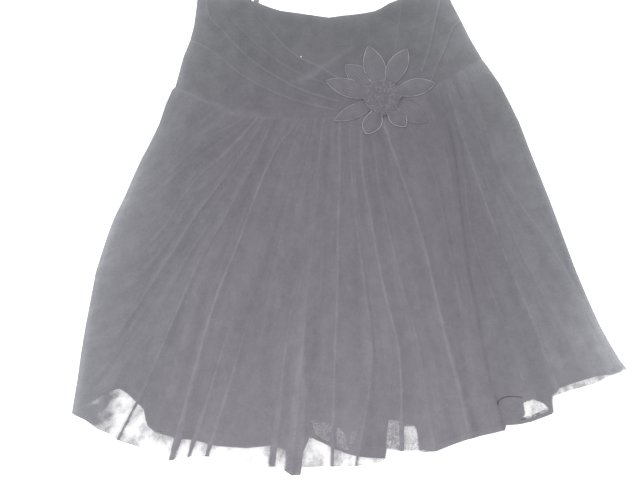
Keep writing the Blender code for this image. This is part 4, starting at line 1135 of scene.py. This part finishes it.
def lay_lining(name, node, underside, shift):
    """A grid from the seam to the hem, with a turned hem and a slow ripple of sin(3.1 a + r / 60).

    The sides depend on the radius and the radius on the angle, so both are worked out in turn.
    """
    hem = {"angle": LINING_HEM["angle"], "radius": LINING_HEM["radius"] + shift}
    down = np.linspace(0.0, 1.0, 90)[:, None]
    across = np.linspace(0.0, 1.0, 260)[None, :]
    radius = 590.0 + down * 400.0 + across * 0.0
    for _ in range(4):
        left_inset = np.interp(radius, LINING_INSET["radius"], LINING_INSET["inset"])
        right_inset = np.interp(radius, (575.0, 610.0), (18.0, LINING_RIGHT_INSET))
        low = angle_of(LEFT_SIDE, radius) + np.degrees(left_inset / radius)
        high = angle_of(RIGHT_SIDE, radius) - np.degrees(right_inset / radius)
        angle = low + across * (high - low)
        top = radius_of(YOKE_SEAM, angle) + LINING_BELOW_SEAM
        radius = top + down * (radius_of(hem, angle) - top)
    turned = TURN_RISE * smoothstep((LINING_TURN - radius_of(hem, angle) + radius) / 2.0)
    ripple = RIPPLE * np.sin(angle * 3.1 + radius / 60.0)
    points = placed(on_chart(angle, radius), underside + LINING_LIFT + turned + ripple)
    uv = np.stack([np.radians(angle) * 0.9, radius * MM], axis=-1)
    piece = mesh_piece(name, points, grid_faces(*angle.shape), lining_cloth, uv, wall=LINING_WALL)
    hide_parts(node)


lay_lining("back_lining_cloth", "back_lining", 1.3, 0.0)
lay_lining("front_lining_cloth", "front_lining", 2.6, -5.0)

# %% [markdown]
# The yoke
#
# The front yoke is one fitted piece with narrow pin tucks, stitched ridges that sweep from
# the left side to the flower and three more from the right. A tuck is a fold of cloth sewn
# at its base, so each is a narrow ridge with a painted highlight along its upper edge. It
# could be a separate thin strip, but a ridge in the one surface has no gap at its foot. Each
# row gives a tuck's rise in mm at its start, middle and end, its half width, how strong its
# painted highlight is, and its line.

# %% Tuck table
TUCKS = {
    "tuck_1": ((1.4, 1.5, 1.2), 3.0, 0.9, [
        (-21.1, 505), (-18.5, 508), (-16.2, 516), (-12.8, 534), (-9.5, 547), (-5.5, 561), (-2.8, 568),
        (0.8, 578)]),
    "tuck_2": ((1.4, 1.5, 1.2), 3.0, 1.1, [
        (-20.7, 443), (-19.7, 466), (-16.8, 480), (-14.8, 493), (-11.7, 512), (-9.8, 522), (-5.6, 542),
        (-2.8, 553), (1.4, 567)]),
    "tuck_3": ((1.4, 1.5, 0.8), 3.0, 0.7, [
        (-19.3, 441), (-18.2, 450), (-15.9, 462), (-12.2, 484), (-9.1, 502), (-6.4, 517), (-3.4, 531),
        (0.5, 544)]),
    "tuck_4": ((1.4, 1.5, 0.8), 3.0, 1.1, [
        (-13.6, 436), (-11.4, 452), (-8.8, 473), (-6.2, 494), (-4.0, 507), (-1.2, 518), (1.6, 537)]),
    "soft_crease": ((0.0, 1.3, 0.0), 9.0, 0.4, [
        (-5.9, 540), (-2.4, 530), (0.3, 513), (2.7, 501), (4.6, 494)]),
    "tuck_5": ((1.0, 1.0, 0.8), 3.0, 0.5, [
        (13.5, 449), (12.5, 467), (10.6, 504), (9.6, 526)]),
    "tuck_6": ((1.4, 1.5, 1.0), 3.0, 0.9, [
        (20.3, 447), (19.5, 466), (17.2, 493), (15.1, 523), (13.1, 548)]),
    "tuck_7": ((1.4, 1.5, 1.0), 3.0, 0.7, [
        (21.1, 502), (19.5, 507), (17.2, 530), (15.0, 551), (13.9, 564)]),
}
print(len(TUCKS), "tucks and creases")

# %% Yoke grid and heights


def yoke_grid(columns, rows):
    """Angle and radius between the waist, the seam and the two side edges."""
    down = np.linspace(0.0, 1.0, rows)[:, None]
    across = np.linspace(0.0, 1.0, columns)[None, :]
    radius = 445.0 + down * 130.0 + across * 0.0
    for _ in range(4):
        low, high = angle_of(LEFT_YOKE_SIDE, radius), angle_of(RIGHT_YOKE_SIDE, radius)
        angle = low + across * (high - low)
        top = radius_of(WAIST, angle)
        radius = top + down * (radius_of(YOKE_SEAM, angle) - top)
    return angle, radius


def tuck_fields(flat):
    """Rise of the tucks in mm and their lines of painted highlight.

    A tuck at distance d rises by rise x (1 - d / width)^1.35, and tucks that meet are joined
    smoothly as the cube root of the sum of their cubes. The painted highlight fades near the waist.
    """
    total = np.zeros(flat.shape[:-1])
    crest = np.zeros(flat.shape[:-1])
    by_waist = (flat[..., 0] < 0.0) * (1.0 - smoothstep((length(flat) - 445.0) / 40.0))
    for rises, width, light, path in TUCKS.values():
        distance, place = distance_to(flat, smoothed(even_line(path), 4))
        rise = np.interp(place, (0.0, 0.5, 1.0), rises)
        total += (rise * np.clip(1.0 - distance / width, 0.0, 1.0) ** FOLD_SHARPNESS) ** 3
        ends = smoothstep(place / 0.02) * smoothstep((1.0 - place) / 0.02) * (1.0 - 0.7 * by_waist)
        crest = np.maximum(crest, light * ends * soft_line(distance, 0.30 * width))
    return np.cbrt(total), crest


def yoke_height(angle, radius, tucks):
    """Underside of the yoke: a smooth rise from waist to seam, plus tucks, low at the sides."""
    top, seam = radius_of(WAIST, angle), radius_of(YOKE_SEAM, angle)
    rest = WAIST_Z + (FRONT_Z - WAIST_Z) * smoothstep((radius - top) / (seam - top))
    tucks = tucks * (0.3 + 0.7 * pressed(on_chart(angle, radius)))
    at_side = smoothstep(side_distance(angle, radius, LEFT_YOKE_SIDE, RIGHT_YOKE_SIDE) / SIDE_FALL)
    return SIDE_Z + (rest - SIDE_Z + tucks) * at_side


def yoke_uv(angle, radius):
    """u is half the angle in radians, about the arc in metres, and v the radius in metres."""
    return np.stack([np.radians(angle) * 0.5, radius * MM], axis=-1)


print("the flower presses on the yoke out to", PRESSED_FLAT + PRESSED_FADE, "mm from its middle")

# %% Yoke pieces
FRONT_YOKE_SHELL = 0.9
BACK_YOKE_SHELL = 1.0
BACK_YOKE_Z = 1.1


def lay_front_yoke():
    """Height = the yoke's underside plus its wall, rounded down at the waist."""
    angle, radius = yoke_grid(330, 118)
    flat = on_chart(angle, radius)
    tucks, crest = tuck_fields(flat)
    rounded = 0.2 * (1.0 - smoothstep((radius - radius_of(WAIST, angle)) / 1.5))
    points = placed(flat, yoke_height(angle, radius, tucks) + YOKE_WALL - rounded)
    piece = mesh_piece("yoke_front", points, grid_faces(*angle.shape), yoke_cloth,
                       yoke_uv(angle, radius), {"crest": crest}, wall=FRONT_YOKE_SHELL)
    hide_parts("front_yoke")


def lay_back_yoke():
    """Height = 1.1 mm plus a slow ripple of sin(1.7 a + r / 25)."""
    angle, radius = yoke_grid(120, 40)
    points = placed(on_chart(angle, radius), BACK_YOKE_Z + 0.08 * np.sin(angle * 1.7 + radius / 25.0))
    piece = mesh_piece("yoke_back", points, grid_faces(*angle.shape), yoke_back_cloth,
                       yoke_uv(angle, radius), wall=BACK_YOKE_SHELL)
    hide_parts("back_yoke")


lay_front_yoke()
lay_back_yoke()

# %% [markdown]
# The flower
#
# Nine pointed petals of the yoke's cloth are edged with cord and quilted with lines of
# stitching. A petal is a surface of two parameters: v goes from root to tip, and u from one
# edge to the other, so the width at each v is a rounded, pointed curve. The petals rest on
# a smooth height over the folds below, in two levels where neighbours overlap.

# %% Petal shapes
ROOT_RADIUS = 9.0
PETAL_WALL = 1.0
PETAL_RIM = 0.5
PETAL_STEP = PETAL_WALL + PETAL_RIM + SEAM_GAP
PETAL_COLUMNS = "direction length half_width widest bend level bright veins"
# bright is how strong a painted highlight the petal's cord gets.
PETALS = table(PETAL_COLUMNS, [
    (99.0, 71.5, 14.5, 0.52, 3.0, 1, 1.3, 0.4),
    (62.0, 73.0, 13.0, 0.58, -4.0, 0, 1.2, 0.3),
    (16.0, 73.0, 11.5, 0.58, -6.0, 1, 1.1, 0.5),
    (-29.0, 68.0, 12.0, 0.56, -4.0, 0, 0.4, 1.0),
    (-59.0, 50.0, 10.5, 0.60, 4.0, 1, 1.5, 0.6),
    (-112.0, 53.0, 12.5, 0.62, -5.0, 1, 1.7, 0.2),
    (-156.0, 71.0, 9.5, 0.52, -3.0, 0, 0.8, 0.9),
    (161.0, 79.0, 12.0, 0.52, -2.0, 1, 1.1, 0.9),
    (132.0, 66.0, 13.5, 0.54, 3.0, 0, 1.0, 0.9)])
FLOWER_REACH = 95.0
HIGHEST_WITHIN = 3.4


def cloth_top(flat):
    """Height of the cloth under the flower, from its folds and tucks as the solids have them.

    A fold rises by rise x (1 - d / width)^1.35, and folds join as the cube root of cubes.
    """
    angle, radius = chart_place(flat)
    tucks, _ = tuck_fields(flat)
    on_yoke = yoke_height(angle, radius, tucks) + YOKE_WALL
    total = np.zeros(angle.shape)
    for rises, width, _, _, path in FOLDS.values():
        if max(rises) > 0.0:
            distance, place = distance_to(flat, even_line(path))
            wide = np.interp(place, (0.0, 1.0), (max(width[0], width[2]), max(width[1], width[3])))
            rise = np.interp(place, np.linspace(0, 1, 5), rises)
            total += (rise * np.clip(1.0 - distance / wide, 0.0, 1.0) ** FOLD_SHARPNESS) ** 3
    on_skirt = skirt_height(angle, radius, np.cbrt(total)) + SHEER_WALL
    return np.where(radius < radius_of(YOKE_SEAM, angle), on_yoke, on_skirt)


FLOWER_SPAN = np.linspace(-FLOWER_REACH, FLOWER_REACH, 96)
under_flower = cloth_top(np.stack(np.meshgrid(FLOWER_SPAN, FLOWER_SPAN), axis=-1) + FLOWER_FLAT)
highest = under_flower.copy()
for turn in np.linspace(0.0, 2.0 * np.pi, 17)[:-1]:
    step_x = int(round(HIGHEST_WITHIN * math.cos(turn)))
    step_y = int(round(HIGHEST_WITHIN * math.sin(turn)))
    highest = np.maximum(highest, np.roll(under_flower, (step_y, step_x), axis=(0, 1)))
FLOWER_REST = smoothed(smoothed(highest, 2).T, 2).T + SEAM_GAP
print("the flower rests at", round(FLOWER_REST.min(), 2), "to", round(FLOWER_REST.max(), 2), "mm")

# %% Petal surface
ROOT_WIDTH = 12.5
PETAL_ROUNDNESS = 0.82
PETAL_EDGE_FALL = 0.95


def flower_rest(offset):
    """Resting height at offsets in mm from the flower's middle.

    It blends the four grid values round a point: a (1 - s)(1 - t) + b s (1 - t) and so on.
    """
    step = FLOWER_SPAN[1] - FLOWER_SPAN[0]
    place = np.clip((offset - FLOWER_SPAN[0]) / step, 0.0, len(FLOWER_SPAN) - 1.001)
    cell = place.astype(int)
    share_x, share_y = np.moveaxis(place - cell, -1, 0)
    column, row = cell[..., 0], cell[..., 1]
    near = FLOWER_REST[row, column] * (1 - share_x) + FLOWER_REST[row, column + 1] * share_x
    far = FLOWER_REST[row + 1, column] * (1 - share_x) + FLOWER_REST[row + 1, column + 1] * share_x
    return near * (1 - share_y) + far * share_y


def petal_point(petal, along, across):
    """Offset from the flower's middle: reach along the petal, width times across, turned.

    The width is half_width x sin(pi v^k)^0.82, where k puts its widest place where it belongs.
    """
    swell = along ** (math.log(0.5) / math.log(petal["widest"]))
    width = petal["half_width"] * np.sin(np.pi * np.clip(swell, 0.0, 1.0)) ** PETAL_ROUNDNESS
    width = np.maximum(width, ROOT_WIDTH * (1.0 - smoothstep(along / 0.55)))
    reach = ROOT_RADIUS + along * (petal["length"] - ROOT_RADIUS)
    side = petal["bend"] * along ** 2 + across * width
    turn = math.radians(petal["direction"])
    x = reach * math.cos(turn) - side * math.sin(turn)
    y = reach * math.sin(turn) + side * math.cos(turn)
    return np.stack([x, y], axis=-1)


def petal_top(offset, level, across):
    """Plate height over the folds, falling to the cloth at the edges away from the middle."""
    away = length(offset)
    lift = level * PETAL_STEP * (1.0 - 0.6 * smoothstep((away - 52.0) / 22.0))
    plate = flower_rest(offset) + lift + PETAL_WALL
    near_edge = np.abs(across) ** 1.6 * smoothstep((away - 8.0 - 10.0 * level) / 14.0)
    on_cloth = np.minimum(plate, cloth_top(offset + FLOWER_FLAT) + 0.55)
    return plate + PETAL_EDGE_FALL * near_edge * (on_cloth - plate)


first_petal = {key: values[0] for key, values in PETALS.items()}
first_tip = petal_point(first_petal, np.array(1.0), 0.0)
print("the first petal's tip is", np.round(first_tip, 1), "mm from the middle")

# %% [markdown]
# Petals and their cords
#
# Each petal is a thin quilted sheet with a cord sewn round its edge. A cord could be a curve
# with a bevel, but a tube of rings can be laid along the very points of the petal's edge, so
# it rests on the cloth all round and its ends meet the root.

# %% Tube along a path


def tube_along(path, radius, sides=8):
    """A closed tube: each ring is the path's point plus radius x (side cos t + up sin t)."""
    ahead = np.gradient(path, axis=0)
    ahead = ahead / np.linalg.norm(ahead, axis=1, keepdims=True)
    side = np.cross(ahead, np.array([0.0, 0.0, 1.0]))
    side = side / np.linalg.norm(side, axis=1, keepdims=True)
    up = np.cross(side, ahead)
    turn = np.linspace(0.0, 2.0 * np.pi, sides + 1)[:-1]
    ring = side[:, None] * np.cos(turn)[None, :, None] + up[:, None] * np.sin(turn)[None, :, None]
    points = path[:, None] + ring * radius
    return points.reshape(-1, 3), closed_faces(len(path), sides)


def closed_faces(rings, sides):
    """Faces of rings one above the other, with a flat face at each end."""
    count = rings * sides
    ends = [list(range(sides)), list(range(count - 1, count - sides - 1, -1))]
    return grid_faces(rings, sides, closed=True)[:, ::-1].tolist() + ends


print("a tube of 3 rings of 8 points has", len(closed_faces(3, 8)), "faces")

# %% Petals
PETAL_SHELL = 0.5
SWELLING = 0.35
QUILT_DEPTH = 0.16
CORD_RADIUS = 0.5
CORD_LIFT = 0.05
RIM_POINTS = 46
TIP = 0.998


def lay_petal(number, petal):
    """The petal's top, plus a swelling (1 - |u|^3) sin(pi v), less quilting sin(3.5 pi u)^2."""
    along = np.linspace(0.0, 1.0, 44)[:, None]
    across = np.linspace(-1.0, 1.0, 27)[None, :] + 0.0 * along
    kept = np.clip(along + 0.0 * across, 0.0, TIP)
    offset = petal_point(petal, kept, across)
    swollen = SWELLING * (1.0 - np.abs(across) ** 3) * np.sin(np.pi * along)
    quilt = QUILT_DEPTH * np.sin(across * math.pi * QUILT_LINES / 2.0) ** 2 * smoothstep(along / 0.2)
    height = petal_top(offset, petal["level"], across) + swollen - quilt
    points = placed(offset + FLOWER_FLAT, height)
    uv = np.stack([across / 2.0, kept], axis=-1)
    veins = np.full(kept.shape, petal["veins"])
    piece = mesh_piece(f"petal_{number}_cloth", points, grid_faces(*kept.shape), petal_cloth,
                       uv, {"veins": veins}, wall=PETAL_SHELL)
    size = (round(petal["length"] * MM, 3), round(2.0 * petal["half_width"] * MM, 3))
    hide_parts(f"petal_{number}")


def lay_petal_cord(number, petal):
    """A tube up one edge of the petal, where u = 1, round its tip and down the other, where u = -1."""
    rise = np.linspace(0.02, TIP, RIM_POINTS)
    along = np.concatenate([rise, rise[::-1][1:]])
    across = np.where(np.arange(len(along)) < RIM_POINTS, 1.0, -1.0)
    across[RIM_POINTS - 2:RIM_POINTS + 1] = (0.8, 0.0, -0.8)
    offset = petal_point(petal, along, across * 0.98)
    height = petal_top(offset, petal["level"], across) + CORD_LIFT
    points, faces = tube_along(placed(offset + FLOWER_FLAT, height), CORD_RADIUS)
    # Strength of the painted highlight on this cord.
    bright = np.full(len(points), petal["bright"])
    cord = mesh_piece(f"petal_{number}_cord", points, faces, edge_cord, numbers={"bright": bright})


for number, row in enumerate(zip(*PETALS.values()), start=1):
    petal = dict(zip(PETALS, row))
    lay_petal(number, petal)
    lay_petal_cord(number, petal)

# %% [markdown]
# The flower's middle
#
# The middle is a low cushion of knots. Many small bumps are best placed on a sunflower
# spiral, where each knot turns by the golden angle and the radius grows with the square
# root of its number, so they fill the disc evenly.

# %% Flower cushion
DISC_RADIUS = 21.5
DISC_RIM = 0.5
DISC_SKIRT = 1.8
DISC_FLARE = 1.12
DISC_SIDES = 72
DISC_ROUNDNESS = 2.4
KNOT_ROOM = 1.4

centre_low, centre_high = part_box("flower_centre")
DISC_FLOOR, DISC_TOP = centre_low[2] / MM, centre_high[2] / MM
DISC_RISE = DISC_TOP - DISC_FLOOR - DISC_RIM - KNOT_ROOM
print("middle from", round(DISC_FLOOR, 2), "to", round(DISC_TOP, 2), "mm")


def make_cushion():
    """A dome of rings with z = floor + rim + rise (1 - s^2.4), s from 0 to 1 at its edge.

    Its last ring is wider and lower, and a single point closes it above and below.
    """
    rings = np.linspace(0.0, 1.0, 24)[1:, None]
    turn = np.linspace(0.0, 2.0 * np.pi, DISC_SIDES + 1)[:-1][None, :]
    reach = rings * DISC_RADIUS
    height = DISC_FLOOR + DISC_RIM + DISC_RISE * (1.0 - rings ** DISC_ROUNDNESS) + 0.0 * turn
    dome = np.stack([reach * np.cos(turn), reach * np.sin(turn), height], axis=-1)
    base = dome[-1:] * DISC_FLARE
    base[..., 2] = DISC_FLOOR - DISC_SKIRT
    points = np.concatenate([dome, base])
    faces = grid_faces(len(points), DISC_SIDES, closed=True)[:, ::-1].tolist()
    count = len(points) * DISC_SIDES
    poles = [[0.0, 0.0, DISC_TOP - KNOT_ROOM], [0.0, 0.0, DISC_FLOOR - DISC_SKIRT]]
    points = np.concatenate([points.reshape(-1, 3), poles])
    here = np.arange(DISC_SIDES)
    beside = (here + 1) % DISC_SIDES
    foot = count - DISC_SIDES
    faces += np.stack([here, beside, np.full(DISC_SIDES, count)], axis=-1).tolist()
    faces += np.stack([foot + beside, foot + here, np.full(DISC_SIDES, count + 1)], axis=-1).tolist()
    points[:, :2] += FLOWER_FLAT + APEX
    cushion = mesh_piece("flower_cushion", points, faces, knot_thread)
    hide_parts("flower_centre")


make_cushion()

# %% Knots of the middle
KNOTS = 220
GOLDEN_ANGLE = math.pi * (3.0 - math.sqrt(5.0))


def flat_ball(low, high, rings, sides, flatness):
    """Rings of a sphere: x = cos u cos w, y = cos u sin w and z = flatness sin u."""
    turn = np.linspace(0.0, 2.0 * np.pi, sides + 1)[:-1]
    up, around = np.meshgrid(np.linspace(low, high, rings), turn, indexing="ij")
    points = [np.cos(up) * np.cos(around), np.cos(up) * np.sin(around), flatness * np.sin(up)]
    ends = [list(range(sides - 1, -1, -1)), list(range((rings - 1) * sides, rings * sides))]
    return np.stack(points, axis=-1), grid_faces(rings, sides, closed=True)[:, ::-1].tolist() + ends


def make_knots():
    """Knot n sits at the root of (n + 0.5) / all of the radius, turned by n golden angles.

    Slow sines of n move, turn and size the knots a little, so that no two look alike.
    """
    number = np.arange(KNOTS)
    away = np.sqrt((number + 0.5) / KNOTS) * (DISC_RADIUS + 0.5) + 0.8 * np.sin(number * 5.1)
    spin = number * GOLDEN_ANGLE + 0.09 * np.sin(number * 3.7)
    rise = DISC_RISE * np.maximum(1.0 - (away / DISC_RADIUS) ** DISC_ROUNDNESS, 0.0)
    height = DISC_FLOOR + DISC_RIM + 0.1 + rise
    centres = np.stack([away * np.cos(spin), away * np.sin(spin), height], axis=-1)
    size = 1.35 + 0.35 * np.sin(number * 2.4)
    ball, ball_faces = flat_ball(-0.9, 1.45, 6, 8, 0.3)
    points = (centres[:, None, None] + ball[None] * size[:, None, None, None]).reshape(-1, 3)
    points[:, :2] += FLOWER_FLAT + APEX
    ball_points = ball.shape[0] * ball.shape[1]
    faces = [[corner + ball_points * knot for corner in face] for knot in range(KNOTS) for face in ball_faces]
    knots = mesh_piece("flower_knots", points, faces, knot_thread)


make_knots()

# %% [markdown]
# The hanging loop
#
# A short satin ribbon is sewn inside the waist and shows as a narrow dark tab. It is a
# ribbon folded into a flat loop: the path is two straight legs and a half circle, and the
# ribbon is a strip that keeps its width across that path.

# %% Hanging loop
LOOP_ANGLE = -12.7
LOOP_WIDTH = 17.0
LOOP_RIBBON = 7.0
LOOP_ABOVE = 26.0
LOOP_BELOW = 14.0
LOOP_HEIGHT = 2.35
RIBBON_EASE = 0.3


def make_loop():
    """A strip of points path + aside x w, with w across the ribbon, turned to stand on the waist."""
    middle = (LOOP_WIDTH - LOOP_RIBBON) / 2
    rise = LOOP_ABOVE - LOOP_WIDTH / 2
    left = np.stack([np.full(14, -middle), np.linspace(-LOOP_BELOW, rise, 14)], axis=-1)
    turn = np.linspace(np.pi, 0.0, 15)[1:-1]
    arc = np.stack([middle * np.cos(turn), rise + middle * np.sin(turn)], axis=-1)
    path = np.concatenate([left, arc, left[::-1] * np.array([-1.0, 1.0])])
    ahead = np.gradient(path, axis=0)
    ahead = ahead / length(ahead)[:, None]
    aside = np.stack([-ahead[:, 1], ahead[:, 0]], axis=-1)
    across = np.linspace(0.5, -0.5, 7)
    flat = path[:, None] + aside[:, None] * across[None, :, None] * (LOOP_RIBBON - RIBBON_EASE)
    turned = math.radians(LOOP_ANGLE)
    right = np.array([math.cos(turned), math.sin(turned)])
    up = np.array([-math.sin(turned), math.cos(turned)])
    start = on_chart(LOOP_ANGLE, float(radius_of(WAIST, LOOP_ANGLE)))
    flat = start + flat[..., :1] * right + flat[..., 1:] * up
    curl = 0.1 * np.cos(across * 2 * np.pi)[None, :] + np.zeros((len(path), 1))
    points = placed(flat, LOOP_HEIGHT + curl)
    piece = mesh_piece("ribbon_loop", points, grid_faces(len(path), 7)[:, ::-1], ribbon_satin, wall=0.7)
    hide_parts("hanging_loop")


make_loop()

# %% [markdown]
# Waist stitching
#
# The turned waist is held by a line of stitching, which shows as a very thin raised thread.
# Single stitches would be too small to see, so it is one fine tube that follows the yoke's
# surface over its tucks.

# %% Waist stitching
STITCH_INSET = 4.0
STITCH_RADIUS = 0.2


def stitch_waist():
    """A tube along the waist: its path keeps one distance from the edge at the yoke's height."""
    angle = np.linspace(-21.6, 20.7, 160)
    radius = radius_of(WAIST, angle) + STITCH_INSET
    flat = on_chart(angle, radius)
    tucks, _ = tuck_fields(flat)
    path = placed(flat, yoke_height(angle, radius, tucks) + YOKE_WALL)
    points, faces = tube_along(path, STITCH_RADIUS, 6)
    piece = mesh_piece("waist_stitching", points, faces, seam_thread)


stitch_waist()

# %% [markdown]
# A thread end
#
# One bright speck sits on the upper left tuck, most likely the end of its sewing thread. It
# is a tiny flattened ball: rings of a sphere with the height halved.

# %% Thread end
pale_thread = cord_finish("pale_thread", 0.75)


def make_thread_end(angle, radius):
    """A flattened ball of 1 mm radius on the cloth at one place of the chart."""
    ball, faces = flat_ball(-1.3, 1.3, 7, 10, 0.5)
    flat = on_chart(angle, radius)
    centre = np.concatenate([flat + APEX, cloth_top(flat)[None]])
    piece = mesh_piece("thread_end", (ball + centre).reshape(-1, 3), faces, pale_thread)


make_thread_end(-4.03, 504.0)

# %% [markdown]
# Floor, light and camera
#
# The skirt lies on a plain white surface that the photograph shows as pure white, so the
# light on it is strong. Large soft lights leave only weak shadows along the folds. The
# camera looks straight down and is turned a few degrees, as the skirt lies a little askew.

# %% Floor
FLOOR_REACH = 3.0


def lay_floor():
    """A square of four corners, each at plus or minus the reach."""
    corners = [(x * FLOOR_REACH, y * FLOOR_REACH, 0.0) for x, y in ((-1, -1), (1, -1), (1, 1), (-1, 1))]
    finish = Finish("floor_white")
    finish.set(Base_Color=(0.93, 0.93, 0.93, 1.0), Roughness=0.9, Specular_IOR_Level=0.1,
               Emission_Color=(1.0, 1.0, 1.0, 1.0), Emission_Strength=0.5)
    mesh = bpy.data.meshes.new("floor")
    mesh.from_pydata(corners, [], [(0, 1, 2, 3)])
    mesh.materials.append(finish.material)
    floor = bpy.data.objects.new("floor", mesh)
    bpy.context.scene.collection.objects.link(floor)
    print("floor reaches", FLOOR_REACH, "m from the middle")


lay_floor()

# %% Light
world = bpy.data.worlds.new("studio")
world.use_nodes = True
sky = world.node_tree.nodes["Background"]
sky.inputs["Color"].default_value = (1.0, 1.0, 1.0, 1.0)
sky.inputs["Strength"].default_value = 1.0
bpy.context.scene.world = world


def soft_light(name, place, size, power):
    """A square lamp of a size in metres and a power in watts that looks at the origin."""
    lamp = bpy.data.lights.new(name, "AREA")
    lamp.shape = "SQUARE"
    lamp.size = size
    lamp.energy = power
    light = bpy.data.objects.new(name, lamp)
    light.location = place
    light.rotation_euler = (-Vector(place)).to_track_quat("-Z", "Y").to_euler()
    bpy.context.scene.collection.objects.link(light)
    print(name, "gives", power, "W")


soft_light("window_left", (-1.9, 0.9, 1.7), 1.4, 20.0)
soft_light("window_top", (0.6, 1.6, 2.0), 1.2, 10.0)

# %% Camera
SKEW = math.radians(3.8)
VIEW_LENS = 50.0
SENSOR = 36.0
VIEW_WIDTH = 0.640 * 1.34
VIEW_ANGLE = -2.01
VIEW_RADIUS = 750.0
CLOTH_HEIGHT = 0.005

camera_data = bpy.data.cameras.new("camera")
camera_data.lens = VIEW_LENS
camera_data.sensor_width = SENSOR
camera = bpy.data.objects.new("camera", camera_data)
look_x, look_y = (on_chart(VIEW_ANGLE, VIEW_RADIUS) + APEX) * MM
camera.location = (look_x, look_y, CLOTH_HEIGHT + VIEW_WIDTH * VIEW_LENS / SENSOR)
camera.rotation_euler = (0.0, 0.0, -SKEW)
bpy.context.scene.collection.objects.link(camera)
bpy.context.scene.camera = camera
bpy.context.scene.view_settings.view_transform = "Standard"
print("camera at", [round(value, 3) for value in camera.location])
